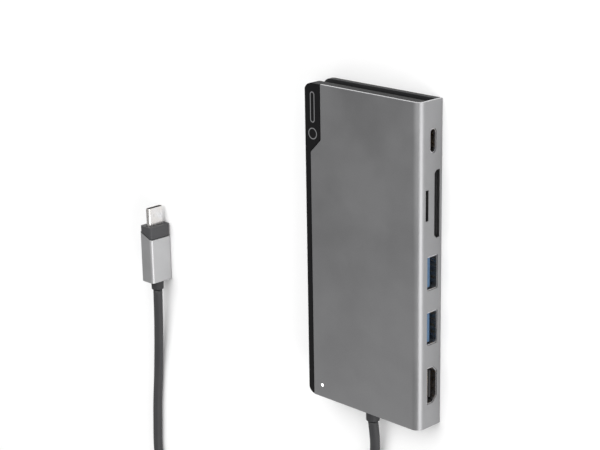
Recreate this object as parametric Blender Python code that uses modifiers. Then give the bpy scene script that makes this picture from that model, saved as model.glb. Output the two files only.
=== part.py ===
"""Laptop docking station with a captive USB-C cable.

The dock lies on its back. X runs across it and the ports open towards +X, Y runs along it and
the cable leaves at -Y, and Z goes up through it to the aluminium plate. The origin is the centre
of the dock's footprint, at the height of the table. Lengths are in metres.
"""

from math import ceil, cos, radians, sin, sqrt

import bmesh
import bpy
from mathutils import Matrix, Vector
from mathutils.geometry import interpolate_bezier

MM = 0.001

# Fits between pieces.
GAP = 0.3 * MM
SEAT = 0.2 * MM
PORT_GAP = 0.12 * MM
PAST = 1.0 * MM

# Dock body.
BODY_LENGTH = 123.0 * MM
BODY_WIDTH = 56.2 * MM
BODY_HEIGHT = 12.4 * MM
CORNER_RADIUS = 3.9 * MM

# Aluminium shell: front plate, rounded long edge and port wall.
SHELL_WALL = 1.0 * MM
SHELL_RADIUS = 3.2 * MM
SHELL_BACK_RADIUS = 0.5 * MM

# Black frame along the left side and the two ends.
FRAME_WALL = 2.75 * MM
FRAME_EDGE_RADIUS = 0.7 * MM
ROOM_RADIUS = 1.2 * MM
GROOVE_TOP = 5.2 * MM
GROOVE_DEPTH = 1.25 * MM
END_GROOVE_TOP = 7.6 * MM
END_GROOVE_RISE = 0.5 * MM
STRIP_WIDTH = 3.1 * MM
INLAY_WIDTH = 8.3 * MM
INLAY_LENGTH = 20.9 * MM
INLAY_FILLET = 0.8 * MM
INLAY_ROOF = 1.1 * MM
BOSS_RADIUS = 2.1 * MM
BOSS_SIDE_SINK = 0.5 * MM
BOSS_END_SINK = 0.4 * MM
BOSS_UNDER_PLATE = 0.6 * MM
LEFT_BOSS_FROM_END = 11.5 * MM

# Bottom cover and the screws that hold it to the frame.
COVER_FLOOR = 0.9 * MM
COVER_RIM = 2.4 * MM
COVER_EDGE_RADIUS = 0.4 * MM
SCREW_HEAD_RADIUS = 1.8 * MM
SCREW_HEAD_DEPTH = 1.1 * MM
SCREW_HEAD_SINK = 0.15 * MM
SCREW_RADIUS = 0.9 * MM
SCREW_LENGTH = 7.0 * MM
SCREW_CLEARANCE = 0.2 * MM
SCREW_POINT = 0.5 * MM
SCREW_HEAD_RIM = 0.15 * MM

# Circuit boards.
MAIN_BOARD = 0.8 * MM
UPPER_BOARD = 0.6 * MM
BOARD_MARGIN = 0.5 * MM
UPPER_BOARD_DEPTH = 24.0 * MM
UPPER_BOARD_MARGIN = 2.2 * MM
HEADER_SIZE = (3.0 * MM, 13.4 * MM)

# Parts on the main board: name, x, distance from the wire header or from the far end, size, look.
CABLE_END_PARTS = [
    ("clock_crystal", -7 * MM, 18.5 * MM, (3.2 * MM, 2.5 * MM, 0.8 * MM), "plated_steel"),
    ("hub_chip", -7 * MM, 27.0 * MM, (8.0 * MM, 8.0 * MM, 0.9 * MM), "chip_resin"),
    ("flash_chip", -17 * MM, 27.0 * MM, (5.0 * MM, 4.0 * MM, 1.4 * MM), "chip_resin"),
]
FAR_END_PARTS = [
    ("power_chip", -14 * MM, 12.7 * MM, (5.0 * MM, 5.0 * MM, 0.8 * MM), "chip_resin"),
    ("power_inductor_1", -14 * MM, 22.7 * MM, (5.0 * MM, 5.0 * MM, 2.4 * MM), "chip_resin"),
    ("power_inductor_2", -14 * MM, 30.7 * MM, (5.0 * MM, 5.0 * MM, 2.4 * MM), "chip_resin"),
]
VIDEO_X = -7 * MM
VIDEO_FROM_HEADER = 8.5 * MM
VIDEO_SIZE = (9 * MM, 9 * MM, 0.9 * MM)
CAN_WIDTH = 14 * MM
CARD_CHIP_SIZE = (5 * MM, 5 * MM, 0.8 * MM)

# Connector shells: sheet, and how far the mouth sits inside the wall's outer face.
SHEET = 0.25 * MM
MOUTH_RECESS = 0.3 * MM

# The ports' line along the wall, from the +Y end down: the room before the first and after the last,
# and how the rest of the length is shared out between them.
ROOM_BEFORE_PORTS = 10.1 * MM
ROOM_AFTER_PORTS = 9.3 * MM
ROOM_SHARES = (6.5, 6.45, 8.45, 8.9)

USB_A_WIDTH = 12.6 * MM
USB_A_HEIGHT = 5.6 * MM
USB_A_DEPTH = 14.0 * MM
USB_A_TONGUE_WIDTH = 11.1 * MM
USB_A_TONGUE = 1.8 * MM
USB_A_TONGUE_LIFT = 0.7 * MM
USB_A_TONGUE_RECESS = 1.0 * MM
USB_A_BASE = 4.5 * MM
USB_A_CORNER = 0.4 * MM
USB_A_WINDOW_BACK = 5.2 * MM
USB_A_WINDOW_APART = 6.0 * MM
USB_A_WINDOW = (3.6 * MM, 1.8 * MM)

HDMI_WIDTH = 14.2 * MM
HDMI_NARROW_WIDTH = 9.7 * MM
HDMI_HEIGHT = 5.2 * MM
HDMI_SIDE_HEIGHT = 3.1 * MM
HDMI_DEPTH = 11.5 * MM
HDMI_TONGUE_WIDTH = 10.6 * MM
HDMI_TONGUE = 1.0 * MM
HDMI_TONGUE_RECESS = 1.2 * MM
HDMI_TONGUE_LIFT = 0.3 * MM
HDMI_BASE = 2.5 * MM
HDMI_WINDOW_BACK = 4.6 * MM
HDMI_WINDOW_APART = 6.4 * MM
HDMI_WINDOW = (3.2 * MM, 1.6 * MM)

USB_C_WIDTH = 8.8 * MM
USB_C_HEIGHT = 3.1 * MM
USB_C_MIDDLE = 5.05 * MM
USB_C_DEPTH = 8.0 * MM
USB_C_TONGUE_WIDTH = 6.7 * MM
USB_C_TONGUE = 0.7 * MM
USB_C_TONGUE_RECESS = 1.2 * MM
USB_C_BASE = 1.6 * MM

SD_SLOT_WIDTH = 25.1 * MM
SD_SLOT_LOW = 1.45 * MM
SD_SLOT_HIGH = 4.3 * MM
SD_STEP = 1.1 * MM
SD_DEPTH = 24.0 * MM
SD_SIDE = 0.8 * MM

MICRO_OFFSET = 0.25 * MM
MICRO_SLOT_WIDTH = 11.4 * MM
MICRO_SLOT_HEIGHT = 1.5 * MM
MICRO_DEPTH = 15.0 * MM
MICRO_RAIL = 0.7 * MM
MICRO_FLOOR = 0.25 * MM

# Card ejector: a bar that slides along X in a channel beside the card, with a heel behind the card.
SLIDE_WIDTH = 1.2 * MM
SLIDE_THICKNESS = 0.6 * MM
SLIDE_TRAVEL = 1.1 * MM
SLIDE_BAR = 6.5 * MM
SLIDE_HEEL = 3.2 * MM
SLIDE_CLEARANCE = 0.15 * MM
SPRING_ROOM = 2.6 * MM
SPRING_RADIUS = 0.3 * MM
SPRING_WIRE = 0.07 * MM
SPRING_TURNS = 7
SPRING_STEPS = 10

# Status light at the corner of the plate by the cable.
LED_X = 7.4 * MM
LED_Y = 4.8 * MM
LED_RADIUS = 0.65 * MM
LED_SIZE = (1.6 * MM, 0.8 * MM, 0.6 * MM)
LED_FLANGE_RADIUS = 1.3 * MM
LED_FLANGE = 0.8 * MM
LED_TIP_SINK = 0.05 * MM

# Cable and its rubber grommet in the end wall.
CORD_DIAMETER = 3.9 * MM
CABLE_Z = 6.2 * MM
COLLAR_WALL = 0.75 * MM
COLLAR_TIP_WALL = 0.65 * MM
COLLAR_LENGTH = 5.4 * MM
GROMMET_WALL = 0.35 * MM
GROMMET_FLANGE_WALL = 1.25 * MM
GROMMET_FLANGE_LENGTH = 1.6 * MM
INNER_CABLE_LENGTH = 12.0 * MM
INNER_CABLE_STRAIGHT = 3.0 * MM
WIRE_PLUG_SIZE = (12.0 * MM, 4.5 * MM, 3.4 * MM)
WIRE_HEADER_SIZE = (13.0 * MM, 3.2 * MM, 3.6 * MM)

# Plug on the far end of the cable, lying on its narrow side with its tip towards +Y.
PLUG_X = -125.5 * MM
PLUG_Y = -39.4 * MM
PLUG_THICKNESS = 7.4 * MM
PLUG_WIDTH = 11.2 * MM
PLUG_CORNER = 1.3 * MM
SLEEVE_LENGTH = 19.1 * MM
SLEEVE_SLANT = 3.0 * MM
SLEEVE_WALL = 0.8 * MM
NOSE_LENGTH = 5.5 * MM
NOSE_INSET = 0.25 * MM
NOSE_TENON = 5.0 * MM
TIP_WIDTH = 8.25 * MM
TIP_THICKNESS = 2.4 * MM
TIP_LENGTH = 7.6 * MM
TIP_SHEET = 0.3 * MM
TIP_ROOT = 3.0 * MM
TIP_CORE_RECESS = 0.6 * MM
TIP_SLOT = (0.8 * MM, 6.65 * MM)
TIP_SLOT_START = 1.0 * MM
PLUG_COLLAR_LENGTH = 4.1 * MM
PLUG_COLLAR_ROOT = 3.0 * MM
NOSE_EDGE = 0.6 * MM
PLUG_BOARD_WIDTH = 8.4 * MM
PLUG_BOARD_START = 4.0 * MM

# Tessellation.
ARC_STEP = 15.0
ROUND_STEPS = 24
FILL_SCALE = 1000.0

HALF_LENGTH = BODY_LENGTH / 2
HALF_WIDTH = BODY_WIDTH / 2
INNER_RIGHT = HALF_WIDTH - SHELL_WALL - GAP
UNDER_PLATE = BODY_HEIGHT - SHELL_WALL - GAP
FRAME_LOW = COVER_RIM + GAP
INNER_END = HALF_LENGTH - FRAME_WALL
INNER_LEFT = FRAME_WALL - HALF_WIDTH
BOARD_LOW = COVER_FLOOR + GAP
BOARD_TOP = BOARD_LOW + MAIN_BOARD
MOUTH_X = HALF_WIDTH - MOUTH_RECESS
PORT_LOW = BOARD_TOP + SEAT
UPPER_LOW = USB_C_MIDDLE + USB_C_HEIGHT / 2 + SEAT
UPPER_TOP = UPPER_LOW + UPPER_BOARD
MICRO_LOW = UPPER_TOP + SEAT
MICRO_SLOT_LOW = MICRO_LOW - PORT_GAP
LED_PLACE = (LED_X - HALF_WIDTH, LED_Y - HALF_LENGTH)
CORD_RADIUS = CORD_DIAMETER / 2
COLLAR_RADIUS = CORD_RADIUS + COLLAR_WALL
COLLAR_TIP_RADIUS = CORD_RADIUS + COLLAR_TIP_WALL
GROMMET_NECK = CORD_RADIUS + GROMMET_WALL
GROMMET_FLANGE = CORD_RADIUS + GROMMET_FLANGE_WALL


def port_centres():
    """The ports' middles along Y, spread over the wall's length in the order of PORT_WIDTHS."""
    used = ROOM_BEFORE_PORTS + sum(PORT_WIDTHS) + ROOM_AFTER_PORTS
    unit = (BODY_LENGTH - used) / sum(ROOM_SHARES)
    edge = HALF_LENGTH - ROOM_BEFORE_PORTS
    centres = []
    for width, share in zip(PORT_WIDTHS, (*ROOM_SHARES, 0)):
        centres.append(edge - width / 2)
        edge -= width + share * unit
    return centres


PORT_WIDTHS = (USB_C_WIDTH, SD_SLOT_WIDTH, USB_A_WIDTH, USB_A_WIDTH, HDMI_WIDTH)
USB_C_CENTRE, SD_CENTRE, USB_A_1_CENTRE, USB_A_2_CENTRE, HDMI_CENTRE = port_centres()
MICRO_CENTRE = SD_CENTRE + MICRO_OFFSET

# The cable inside: grommet's inner face, then the cable, its wire plug and the header on the board.
INNER_CABLE_START = GROMMET_FLANGE_LENGTH + 2 * GAP - INNER_END
WIRE_PLUG_Y = INNER_CABLE_START + INNER_CABLE_LENGTH + GAP
WIRE_HEADER_Y = WIRE_PLUG_Y + WIRE_PLUG_SIZE[1] + GAP
WIRE_HEADER_END = WIRE_HEADER_Y + WIRE_HEADER_SIZE[1]

# What each piece is made of: base colour, roughness, metallic.
LOOKS = {
    "anodised_aluminium": ((0.30, 0.30, 0.31), 0.38, 1.0),
    "black_plastic": ((0.030, 0.030, 0.032), 0.45, 0.0),
    "plated_steel": ((0.62, 0.62, 0.64), 0.28, 1.0),
    "blue_insulator": ((0.02, 0.10, 0.32), 0.45, 0.0),
    "black_insulator": ((0.015, 0.015, 0.016), 0.5, 0.0),
    "circuit_board": ((0.01, 0.09, 0.04), 0.4, 0.0),
    "chip_resin": ((0.02, 0.02, 0.02), 0.55, 0.0),
    "clear_light_pipe": ((0.9, 0.9, 0.9), 0.2, 0.0),
    "white_nylon": ((0.75, 0.73, 0.68), 0.5, 0.0),
    "black_rubber": ((0.035, 0.035, 0.037), 0.65, 0.0),
    "nose_plastic": ((0.11, 0.11, 0.115), 0.5, 0.0),
}


def clear_scene():
    for obj in list(bpy.data.objects):
        bpy.data.objects.remove(obj, do_unlink=True)


def new_collection(name):
    group = bpy.data.collections.new(name)
    bpy.context.scene.collection.children.link(group)
    return group


def new_look(name, color, roughness, metallic):
    look = bpy.data.materials.new(name)
    look.use_nodes = True
    shader = look.node_tree.nodes["Principled BSDF"]
    shader.inputs["Base Color"].default_value = (*color, 1.0)
    shader.inputs["Roughness"].default_value = roughness
    shader.inputs["Metallic"].default_value = metallic
    return look


clear_scene()
PARTS = new_collection("docking_station")
CUTTERS = new_collection("cutters")
MATERIALS = {name: new_look(name, *values) for name, values in LOOKS.items()}
DOCK = bpy.data.objects.new("dock", None)
PLUG = bpy.data.objects.new("plug", None)
PLUG.location = (PLUG_X, PLUG_Y, PLUG_WIDTH / 2)
PARTS.objects.link(DOCK)
PARTS.objects.link(PLUG)


# Outlines ------------------------------------------------------------------------------------


def arc(centre, radius, start, end):
    """Points along an arc from one angle in degrees to another, both ends included."""
    count = ceil(abs(end - start) / ARC_STEP)
    angles = [radians(start + (end - start) * step / count) for step in range(count + 1)]
    return [(centre[0] + radius * cos(a), centre[1] + radius * sin(a)) for a in angles]


def rounded(low, high, radii):
    """A rectangle between two corners, with a radius for each corner, from the low one round."""
    corners = [(low[0], low[1]), (high[0], low[1]), (high[0], high[1]), (low[0], high[1])]
    signs = [(1, 1), (-1, 1), (-1, -1), (1, -1)]
    points = []
    for index, ((x, y), (sx, sy), radius) in enumerate(zip(corners, signs, radii)):
        if radius > 0:
            centre = (x + sx * radius, y + sy * radius)
            points += arc(centre, radius, 180 + 90 * index, 270 + 90 * index)
        else:
            points.append((x, y))
    return points


def centred(middle, size, radius=0.0):
    """A rectangle about a middle point, with one radius at all its corners."""
    low = (middle[0] - size[0] / 2, middle[1] - size[1] / 2)
    high = (middle[0] + size[0] / 2, middle[1] + size[1] / 2)
    return rounded(low, high, [radius] * 4)


def fillet(before, corner, after, radius):
    """The arc that rounds a corner between two straight runs."""
    start = (Vector(before) - Vector(corner)).normalized()
    end = (Vector(after) - Vector(corner)).normalized()
    half = start.angle(end) / 2
    reach = radius / sin(half) * cos(half)
    centre = Vector(corner) + (start + end).normalized() * radius / sin(half)
    first = Vector(corner) + start * reach - centre
    last = Vector(corner) + end * reach - centre
    count = 3
    turns = [first.slerp(last, step / count).normalized() for step in range(count + 1)]
    return [tuple(centre + turn * radius) for turn in turns]


def plan_outline(inset, right):
    """The black body seen from above, its left side and ends moved in by inset."""
    low = (inset - HALF_WIDTH, inset - HALF_LENGTH)
    high = (right, HALF_LENGTH - inset)
    radius = CORNER_RADIUS - inset
    return rounded(low, high, [radius, 0, 0, radius])


def room_outline():
    """The room inside the frame and the cover, seen from above, open towards the port wall."""
    low = (INNER_LEFT, -INNER_END)
    return rounded(low, (HALF_WIDTH + PAST, INNER_END), [ROOM_RADIUS, 0, 0, ROOM_RADIUS])


def front_seam(shrink):
    """The line where plate and black front meet, from -Y to +Y, moved into the black by shrink."""
    slide = (sqrt(2) - 1) * shrink
    strip = STRIP_WIDTH - shrink - HALF_WIDTH
    inlay = INLAY_WIDTH - shrink - HALF_WIDTH
    inlay_start = HALF_LENGTH - INLAY_LENGTH + slide
    strip_end = inlay_start - (INLAY_WIDTH - STRIP_WIDTH)
    first = (strip, -HALF_LENGTH - PAST)
    low = (strip, strip_end)
    high = (inlay, inlay_start)
    last = (inlay, HALF_LENGTH + PAST)
    low_arc = fillet(first, low, high, INLAY_FILLET + shrink)
    high_arc = fillet(low, high, last, INLAY_FILLET + GAP - shrink)
    return [first, *low_arc, *high_arc, last]


# Solids --------------------------------------------------------------------------------------

TURNS = {
    "X": Matrix(((0, 0, 1, 0), (1, 0, 0, 0), (0, 1, 0, 0), (0, 0, 0, 1))),
    "Y": Matrix(((1, 0, 0, 0), (0, 0, -1, 0), (0, 1, 0, 0), (0, 0, 0, 1))),
    "Z": Matrix.Identity(4),
}
AXES = {"X": Vector((1, 0, 0)), "Y": Vector((0, 1, 0)), "Z": Vector((0, 0, 1))}


def mesh_of(curve_object, weld, scale):
    """The closed mesh of a curve object, its caps welded, and the curve removed."""
    PARTS.objects.link(curve_object)
    graph = bpy.context.evaluated_depsgraph_get()
    mesh = bpy.data.meshes.new_from_object(curve_object.evaluated_get(graph))
    bpy.data.objects.remove(curve_object)
    solid = bmesh.new()
    solid.from_mesh(mesh)
    bmesh.ops.remove_doubles(solid, verts=solid.verts, dist=weld)
    bmesh.ops.scale(solid, vec=(scale, scale, scale), verts=solid.verts)
    bmesh.ops.recalc_face_normals(solid, faces=solid.faces)
    solid.to_mesh(mesh)
    solid.free()
    return mesh


def slab(name, outlines, low, high, along="Z"):
    """The first outline, less the ones inside it, made solid from low to high along an axis.

    Outlines are in (x, y) along Z, (y, z) along X and (x, z) along Y. They are filled a thousand
    times larger, because the fill joins points that are closer than 0.03 mm.
    """
    curve = bpy.data.curves.new(name, "CURVE")
    curve.dimensions = "2D"
    curve.fill_mode = "BOTH"
    curve.extrude = (high - low) / 2 * FILL_SCALE
    for outline in outlines:
        spline = curve.splines.new("POLY")
        spline.points.add(len(outline) - 1)
        spline.use_cyclic_u = True
        for point, (u, v) in zip(spline.points, outline):
            point.co = (u * FILL_SCALE, v * FILL_SCALE, 0, 1)
    mesh = mesh_of(bpy.data.objects.new(name + "_outline", curve), 0.001, 1 / FILL_SCALE)
    obj = bpy.data.objects.new(name, mesh)
    obj.matrix_world = Matrix.Translation(AXES[along] * (low + high) / 2) @ TURNS[along]
    return obj


def box(name, low, high):
    """A block between two corners."""
    low, high = Vector(low), Vector(high)
    mesh = bpy.data.meshes.new(name)
    solid = bmesh.new()
    bmesh.ops.create_cube(solid, size=1.0)
    bmesh.ops.scale(solid, vec=high - low, verts=solid.verts)
    solid.to_mesh(mesh)
    solid.free()
    obj = bpy.data.objects.new(name, mesh)
    obj.location = (low + high) / 2
    return obj


def cylinder(name, centre, radius, low, high, along="Z"):
    """A round bar; centre is its place across the axis, in the order that slab takes."""
    mesh = bpy.data.meshes.new(name)
    solid = bmesh.new()
    size = {"radius1": radius, "radius2": radius, "depth": high - low}
    bmesh.ops.create_cone(solid, cap_ends=True, segments=ROUND_STEPS, **size)
    solid.to_mesh(mesh)
    solid.free()
    obj = bpy.data.objects.new(name, mesh)
    across = TURNS[along] @ Vector((centre[0], centre[1], 0))
    obj.matrix_world = Matrix.Translation(across + AXES[along] * (low + high) / 2) @ TURNS[along]
    return obj


def turned(name, profile):
    """A turned solid about its own Z. The profile is (radius, height) down its outer side."""
    mesh = bpy.data.meshes.new(name)
    line = bmesh.new()
    verts = [line.verts.new((radius, 0, height)) for radius, height in profile]
    for start, end in zip(verts, verts[1:]):
        line.edges.new((start, end))
    line.to_mesh(mesh)
    line.free()
    obj = bpy.data.objects.new(name, mesh)
    screw = obj.modifiers.new("turn", "SCREW")
    screw.steps = ROUND_STEPS
    screw.render_steps = ROUND_STEPS
    screw.use_merge_vertices = True
    screw.merge_threshold = 0.00001
    return obj


def tube(name, points, radius, resolution):
    """A round wire through the points, with closed ends."""
    curve = bpy.data.curves.new(name, "CURVE")
    curve.dimensions = "3D"
    curve.bevel_depth = radius
    curve.bevel_resolution = resolution
    curve.use_fill_caps = True
    spline = curve.splines.new("POLY")
    spline.points.add(len(points) - 1)
    for point, place in zip(spline.points, points):
        point.co = (*place, 1)
    return bpy.data.objects.new(name, curve)


def piece(obj, look, parent=DOCK):
    """Adds an object to the assembly as one of its pieces."""
    PARTS.objects.link(obj)
    obj.data.materials.append(MATERIALS[look])
    obj.parent = parent
    if obj.type == "MESH":
        obj.data.shade_smooth()
        obj.data.set_sharp_from_angle(angle=radians(35))
    return obj


def shape(target, operation, tool):
    """Cuts, joins or limits a piece with a tool, which is kept out of the render."""
    CUTTERS.objects.link(tool)
    tool.parent = target.parent
    tool.hide_render = True
    tool.display_type = "WIRE"
    modifier = target.modifiers.new(tool.name, "BOOLEAN")
    modifier.operation = operation
    modifier.object = tool


def cut(target, *tools):
    for tool in tools:
        shape(target, "DIFFERENCE", tool)


def join(target, *tools):
    for tool in tools:
        shape(target, "UNION", tool)


def bevel(target, width, segments=2):
    modifier = target.modifiers.new("edges", "BEVEL")
    modifier.width = width
    modifier.segments = segments
    modifier.angle_limit = radians(50)


# Where things sit ----------------------------------------------------------------------------

LEFT_BOSS_X = INNER_LEFT + BOSS_RADIUS - BOSS_SIDE_SINK
RIGHT_BOSS_X = INNER_RIGHT - BOSS_RADIUS - GAP
RIGHT_BOSS_Y = INNER_END - BOSS_RADIUS + BOSS_END_SINK
BOSS_PLACES = [
    (LEFT_BOSS_X, LEFT_BOSS_FROM_END - HALF_LENGTH),
    (LEFT_BOSS_X, HALF_LENGTH - LEFT_BOSS_FROM_END),
    (RIGHT_BOSS_X, -RIGHT_BOSS_Y),
    (RIGHT_BOSS_X, RIGHT_BOSS_Y),
]
USB_A_MIDDLE = PORT_LOW + USB_A_HEIGHT / 2


def usb_a_outline(centre, grow):
    size = (USB_A_WIDTH + 2 * grow, USB_A_HEIGHT + 2 * grow)
    return centred((centre, USB_A_MIDDLE), size, max(USB_A_CORNER + grow, 0.1 * MM))


def usb_c_outline(grow):
    size = (USB_C_WIDTH + 2 * grow, USB_C_HEIGHT + 2 * grow)
    return centred((USB_C_CENTRE, USB_C_MIDDLE), size, size[1] / 2)


def hdmi_outline(grow):
    """The HDMI mouth: wide towards the plate, with its two lower corners cut off."""
    wide = HDMI_WIDTH / 2 + grow
    narrow = HDMI_NARROW_WIDTH / 2 + grow * 0.6
    low = PORT_LOW - grow
    high = PORT_LOW + HDMI_HEIGHT + grow
    shoulder = PORT_LOW + HDMI_HEIGHT - HDMI_SIDE_HEIGHT - grow * 0.4
    side = [(narrow, low), (wide, shoulder), (wide, high)]
    right = [(HDMI_CENTRE + y, z) for y, z in side]
    left = [(HDMI_CENTRE - y, z) for y, z in reversed(side)]
    return right + left


def sd_outline():
    """The card slot: its side towards the plate is shorter by a step at each end."""
    wide = SD_SLOT_WIDTH / 2
    narrow = wide - SD_STEP
    middle = SD_SLOT_HIGH - SD_STEP
    side = [(wide, SD_SLOT_LOW), (wide, middle), (narrow, SD_SLOT_HIGH)]
    right = [(SD_CENTRE + y, z) for y, z in side]
    left = [(SD_CENTRE - y, z) for y, z in reversed(side)]
    return right + left


def micro_outline():
    middle = (MICRO_CENTRE, MICRO_SLOT_LOW + MICRO_SLOT_HEIGHT / 2)
    return centred(middle, (MICRO_SLOT_WIDTH, MICRO_SLOT_HEIGHT), 0.15 * MM)


# Enclosure -----------------------------------------------------------------------------------


def make_top_shell():
    inner = SHELL_RADIUS - SHELL_WALL
    bend = (HALF_WIDTH - SHELL_RADIUS, BODY_HEIGHT - SHELL_RADIUS)
    back = (HALF_WIDTH - SHELL_BACK_RADIUS, SHELL_BACK_RADIUS)
    wall_inside = HALF_WIDTH - SHELL_WALL
    section = [(-HALF_WIDTH, BODY_HEIGHT - SHELL_WALL), (bend[0], BODY_HEIGHT - SHELL_WALL)]
    section += arc(bend, inner, 90, 0)[1:]
    section += [(wall_inside, 0)]
    section += arc(back, SHELL_BACK_RADIUS, 270, 360)
    section += arc(bend, SHELL_RADIUS, 0, 90)
    section += [(-HALF_WIDTH, BODY_HEIGHT)]
    sheet = slab("top_shell", [section], -HALF_LENGTH, HALF_LENGTH, "Y")
    shell = piece(sheet, "anodised_aluminium")
    seam = front_seam(0)
    beyond = [(-HALF_WIDTH - PAST, seam[-1][1]), (-HALF_WIDTH - PAST, seam[0][1])]
    plate_side = slab("cut_front_seam", [seam + beyond], UNDER_PLATE - PAST, BODY_HEIGHT + PAST)
    cut(shell, plate_side)
    mouths = {
        "usb_c": usb_c_outline(PORT_GAP),
        "sd": sd_outline(),
        "micro_sd": micro_outline(),
        "hdmi": hdmi_outline(PORT_GAP),
    }
    for number, centre in enumerate((USB_A_1_CENTRE, USB_A_2_CENTRE), 1):
        mouths[f"usb_a_{number}"] = usb_a_outline(centre, PORT_GAP)
    for name, outline in mouths.items():
        wall = (wall_inside - PAST, HALF_WIDTH + PAST)
        cut(shell, slab(f"cut_{name}_mouth", [outline], *wall, "X"))
    hole = (LED_RADIUS + PORT_GAP, UNDER_PLATE, BODY_HEIGHT + PAST)
    cut(shell, cylinder("cut_led_hole", LED_PLACE, *hole))


def make_side_frame():
    body = slab("side_frame", [plan_outline(0, INNER_RIGHT)], FRAME_LOW, BODY_HEIGHT)
    frame = piece(body, "black_plastic")
    inner = SHELL_RADIUS - SHELL_WALL - GAP
    edge = (FRAME_EDGE_RADIUS - HALF_WIDTH, BODY_HEIGHT - FRAME_EDGE_RADIUS)
    section = [(-HALF_WIDTH, 0), (INNER_RIGHT + PAST, 0), (INNER_RIGHT + PAST, UNDER_PLATE - inner)]
    section += arc((INNER_RIGHT - inner, UNDER_PLATE - inner), inner, 0, 90)
    section += [(INNER_RIGHT - inner, BODY_HEIGHT)]
    section += arc(edge, FRAME_EDGE_RADIUS, 90, 180)
    envelope = slab("keep_frame_section", [section], -HALF_LENGTH - PAST, HALF_LENGTH + PAST, "Y")
    shape(frame, "INTERSECT", envelope)
    seam = front_seam(GAP)
    beyond = [(HALF_WIDTH, seam[-1][1]), (HALF_WIDTH, seam[0][1])]
    cut(frame, slab("cut_plate_seat", [seam + beyond], UNDER_PLATE, BODY_HEIGHT + PAST))
    outside = centred((0, 0), (BODY_WIDTH * 2, BODY_LENGTH * 2))
    ring = [outside, plan_outline(GROOVE_DEPTH, HALF_WIDTH + PAST)]
    cut(frame, slab("cut_groove", ring, FRAME_LOW - PAST, GROOVE_TOP))
    floor_y = HALF_LENGTH - GROOVE_DEPTH
    lip_y = HALF_LENGTH + PAST
    for name, side in (("near", -1), ("far", 1)):
        outline = [
            (side * floor_y, FRAME_LOW - PAST),
            (side * lip_y, FRAME_LOW - PAST),
            (side * lip_y, END_GROOVE_TOP),
            (side * HALF_LENGTH, END_GROOVE_TOP),
            (side * floor_y, END_GROOVE_TOP - END_GROOVE_RISE),
        ]
        across = (-HALF_WIDTH - PAST, HALF_WIDTH + PAST, "X")
        cut(frame, slab(f"cut_{name}_end_groove", [outline], *across))
    cut(frame, slab("cut_frame_room", [room_outline()], 0, BODY_HEIGHT - INLAY_ROOF))
    for number, place in enumerate(BOSS_PLACES, 1):
        boss = (FRAME_LOW + SEAT, UNDER_PLATE - BOSS_UNDER_PLATE)
        join(frame, cylinder(f"join_boss_{number}", place, BOSS_RADIUS, *boss))
    for number, place in enumerate(BOSS_PLACES, 1):
        pilot = SCREW_HEAD_SINK + SCREW_LENGTH + GAP
        cut(frame, cylinder(f"cut_pilot_{number}", place, SCREW_RADIUS + PORT_GAP, 0, pilot))
    hole = (-HALF_LENGTH - PAST, PAST - INNER_END)
    cut(frame, cylinder("cut_cable_hole", (0, CABLE_Z), GROMMET_NECK + GAP, *hole, "Y"))


def make_bottom_cover():
    tray = slab("bottom_cover", [plan_outline(0, INNER_RIGHT)], 0, COVER_RIM)
    cover = piece(tray, "black_plastic")
    bevel(cover, COVER_EDGE_RADIUS)
    cut(cover, slab("cut_cover_room", [room_outline()], COVER_FLOOR, COVER_RIM + PAST))
    for number, place in enumerate(BOSS_PLACES, 1):
        boss = (COVER_FLOOR / 2, COVER_RIM - SEAT)
        join(cover, cylinder(f"join_cover_boss_{number}", place, BOSS_RADIUS, *boss))
    for number, place in enumerate(BOSS_PLACES, 1):
        hole_radius = SCREW_RADIUS + SCREW_CLEARANCE
        head = SCREW_HEAD_RADIUS + SCREW_CLEARANCE
        seat = SCREW_HEAD_SINK + SCREW_HEAD_DEPTH + SCREW_CLEARANCE
        above = COVER_RIM + PAST
        profile = [(0, above), (hole_radius, above), (hole_radius, seat)]
        profile += [(head, SCREW_HEAD_SINK), (head, -PAST), (0, -PAST)]
        tool = turned(f"cut_screw_seat_{number}", profile)
        tool.location = (*place, 0)
        cut(cover, tool)


def make_case_screws():
    low = SCREW_HEAD_SINK
    neck = low + SCREW_HEAD_DEPTH
    end = low + SCREW_LENGTH
    tip = SCREW_RADIUS * 0.6
    profile = [(0, end), (tip, end), (SCREW_RADIUS, end - SCREW_POINT), (SCREW_RADIUS, neck)]
    profile += [(SCREW_HEAD_RADIUS, low + SCREW_HEAD_RIM), (SCREW_HEAD_RADIUS, low), (0, low)]
    for number, place in enumerate(BOSS_PLACES, 1):
        screw = piece(turned(f"case_screw_{number}", profile), "plated_steel")
        screw.location = (*place, 0)


# Boards and what is soldered to them ---------------------------------------------------------


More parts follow.
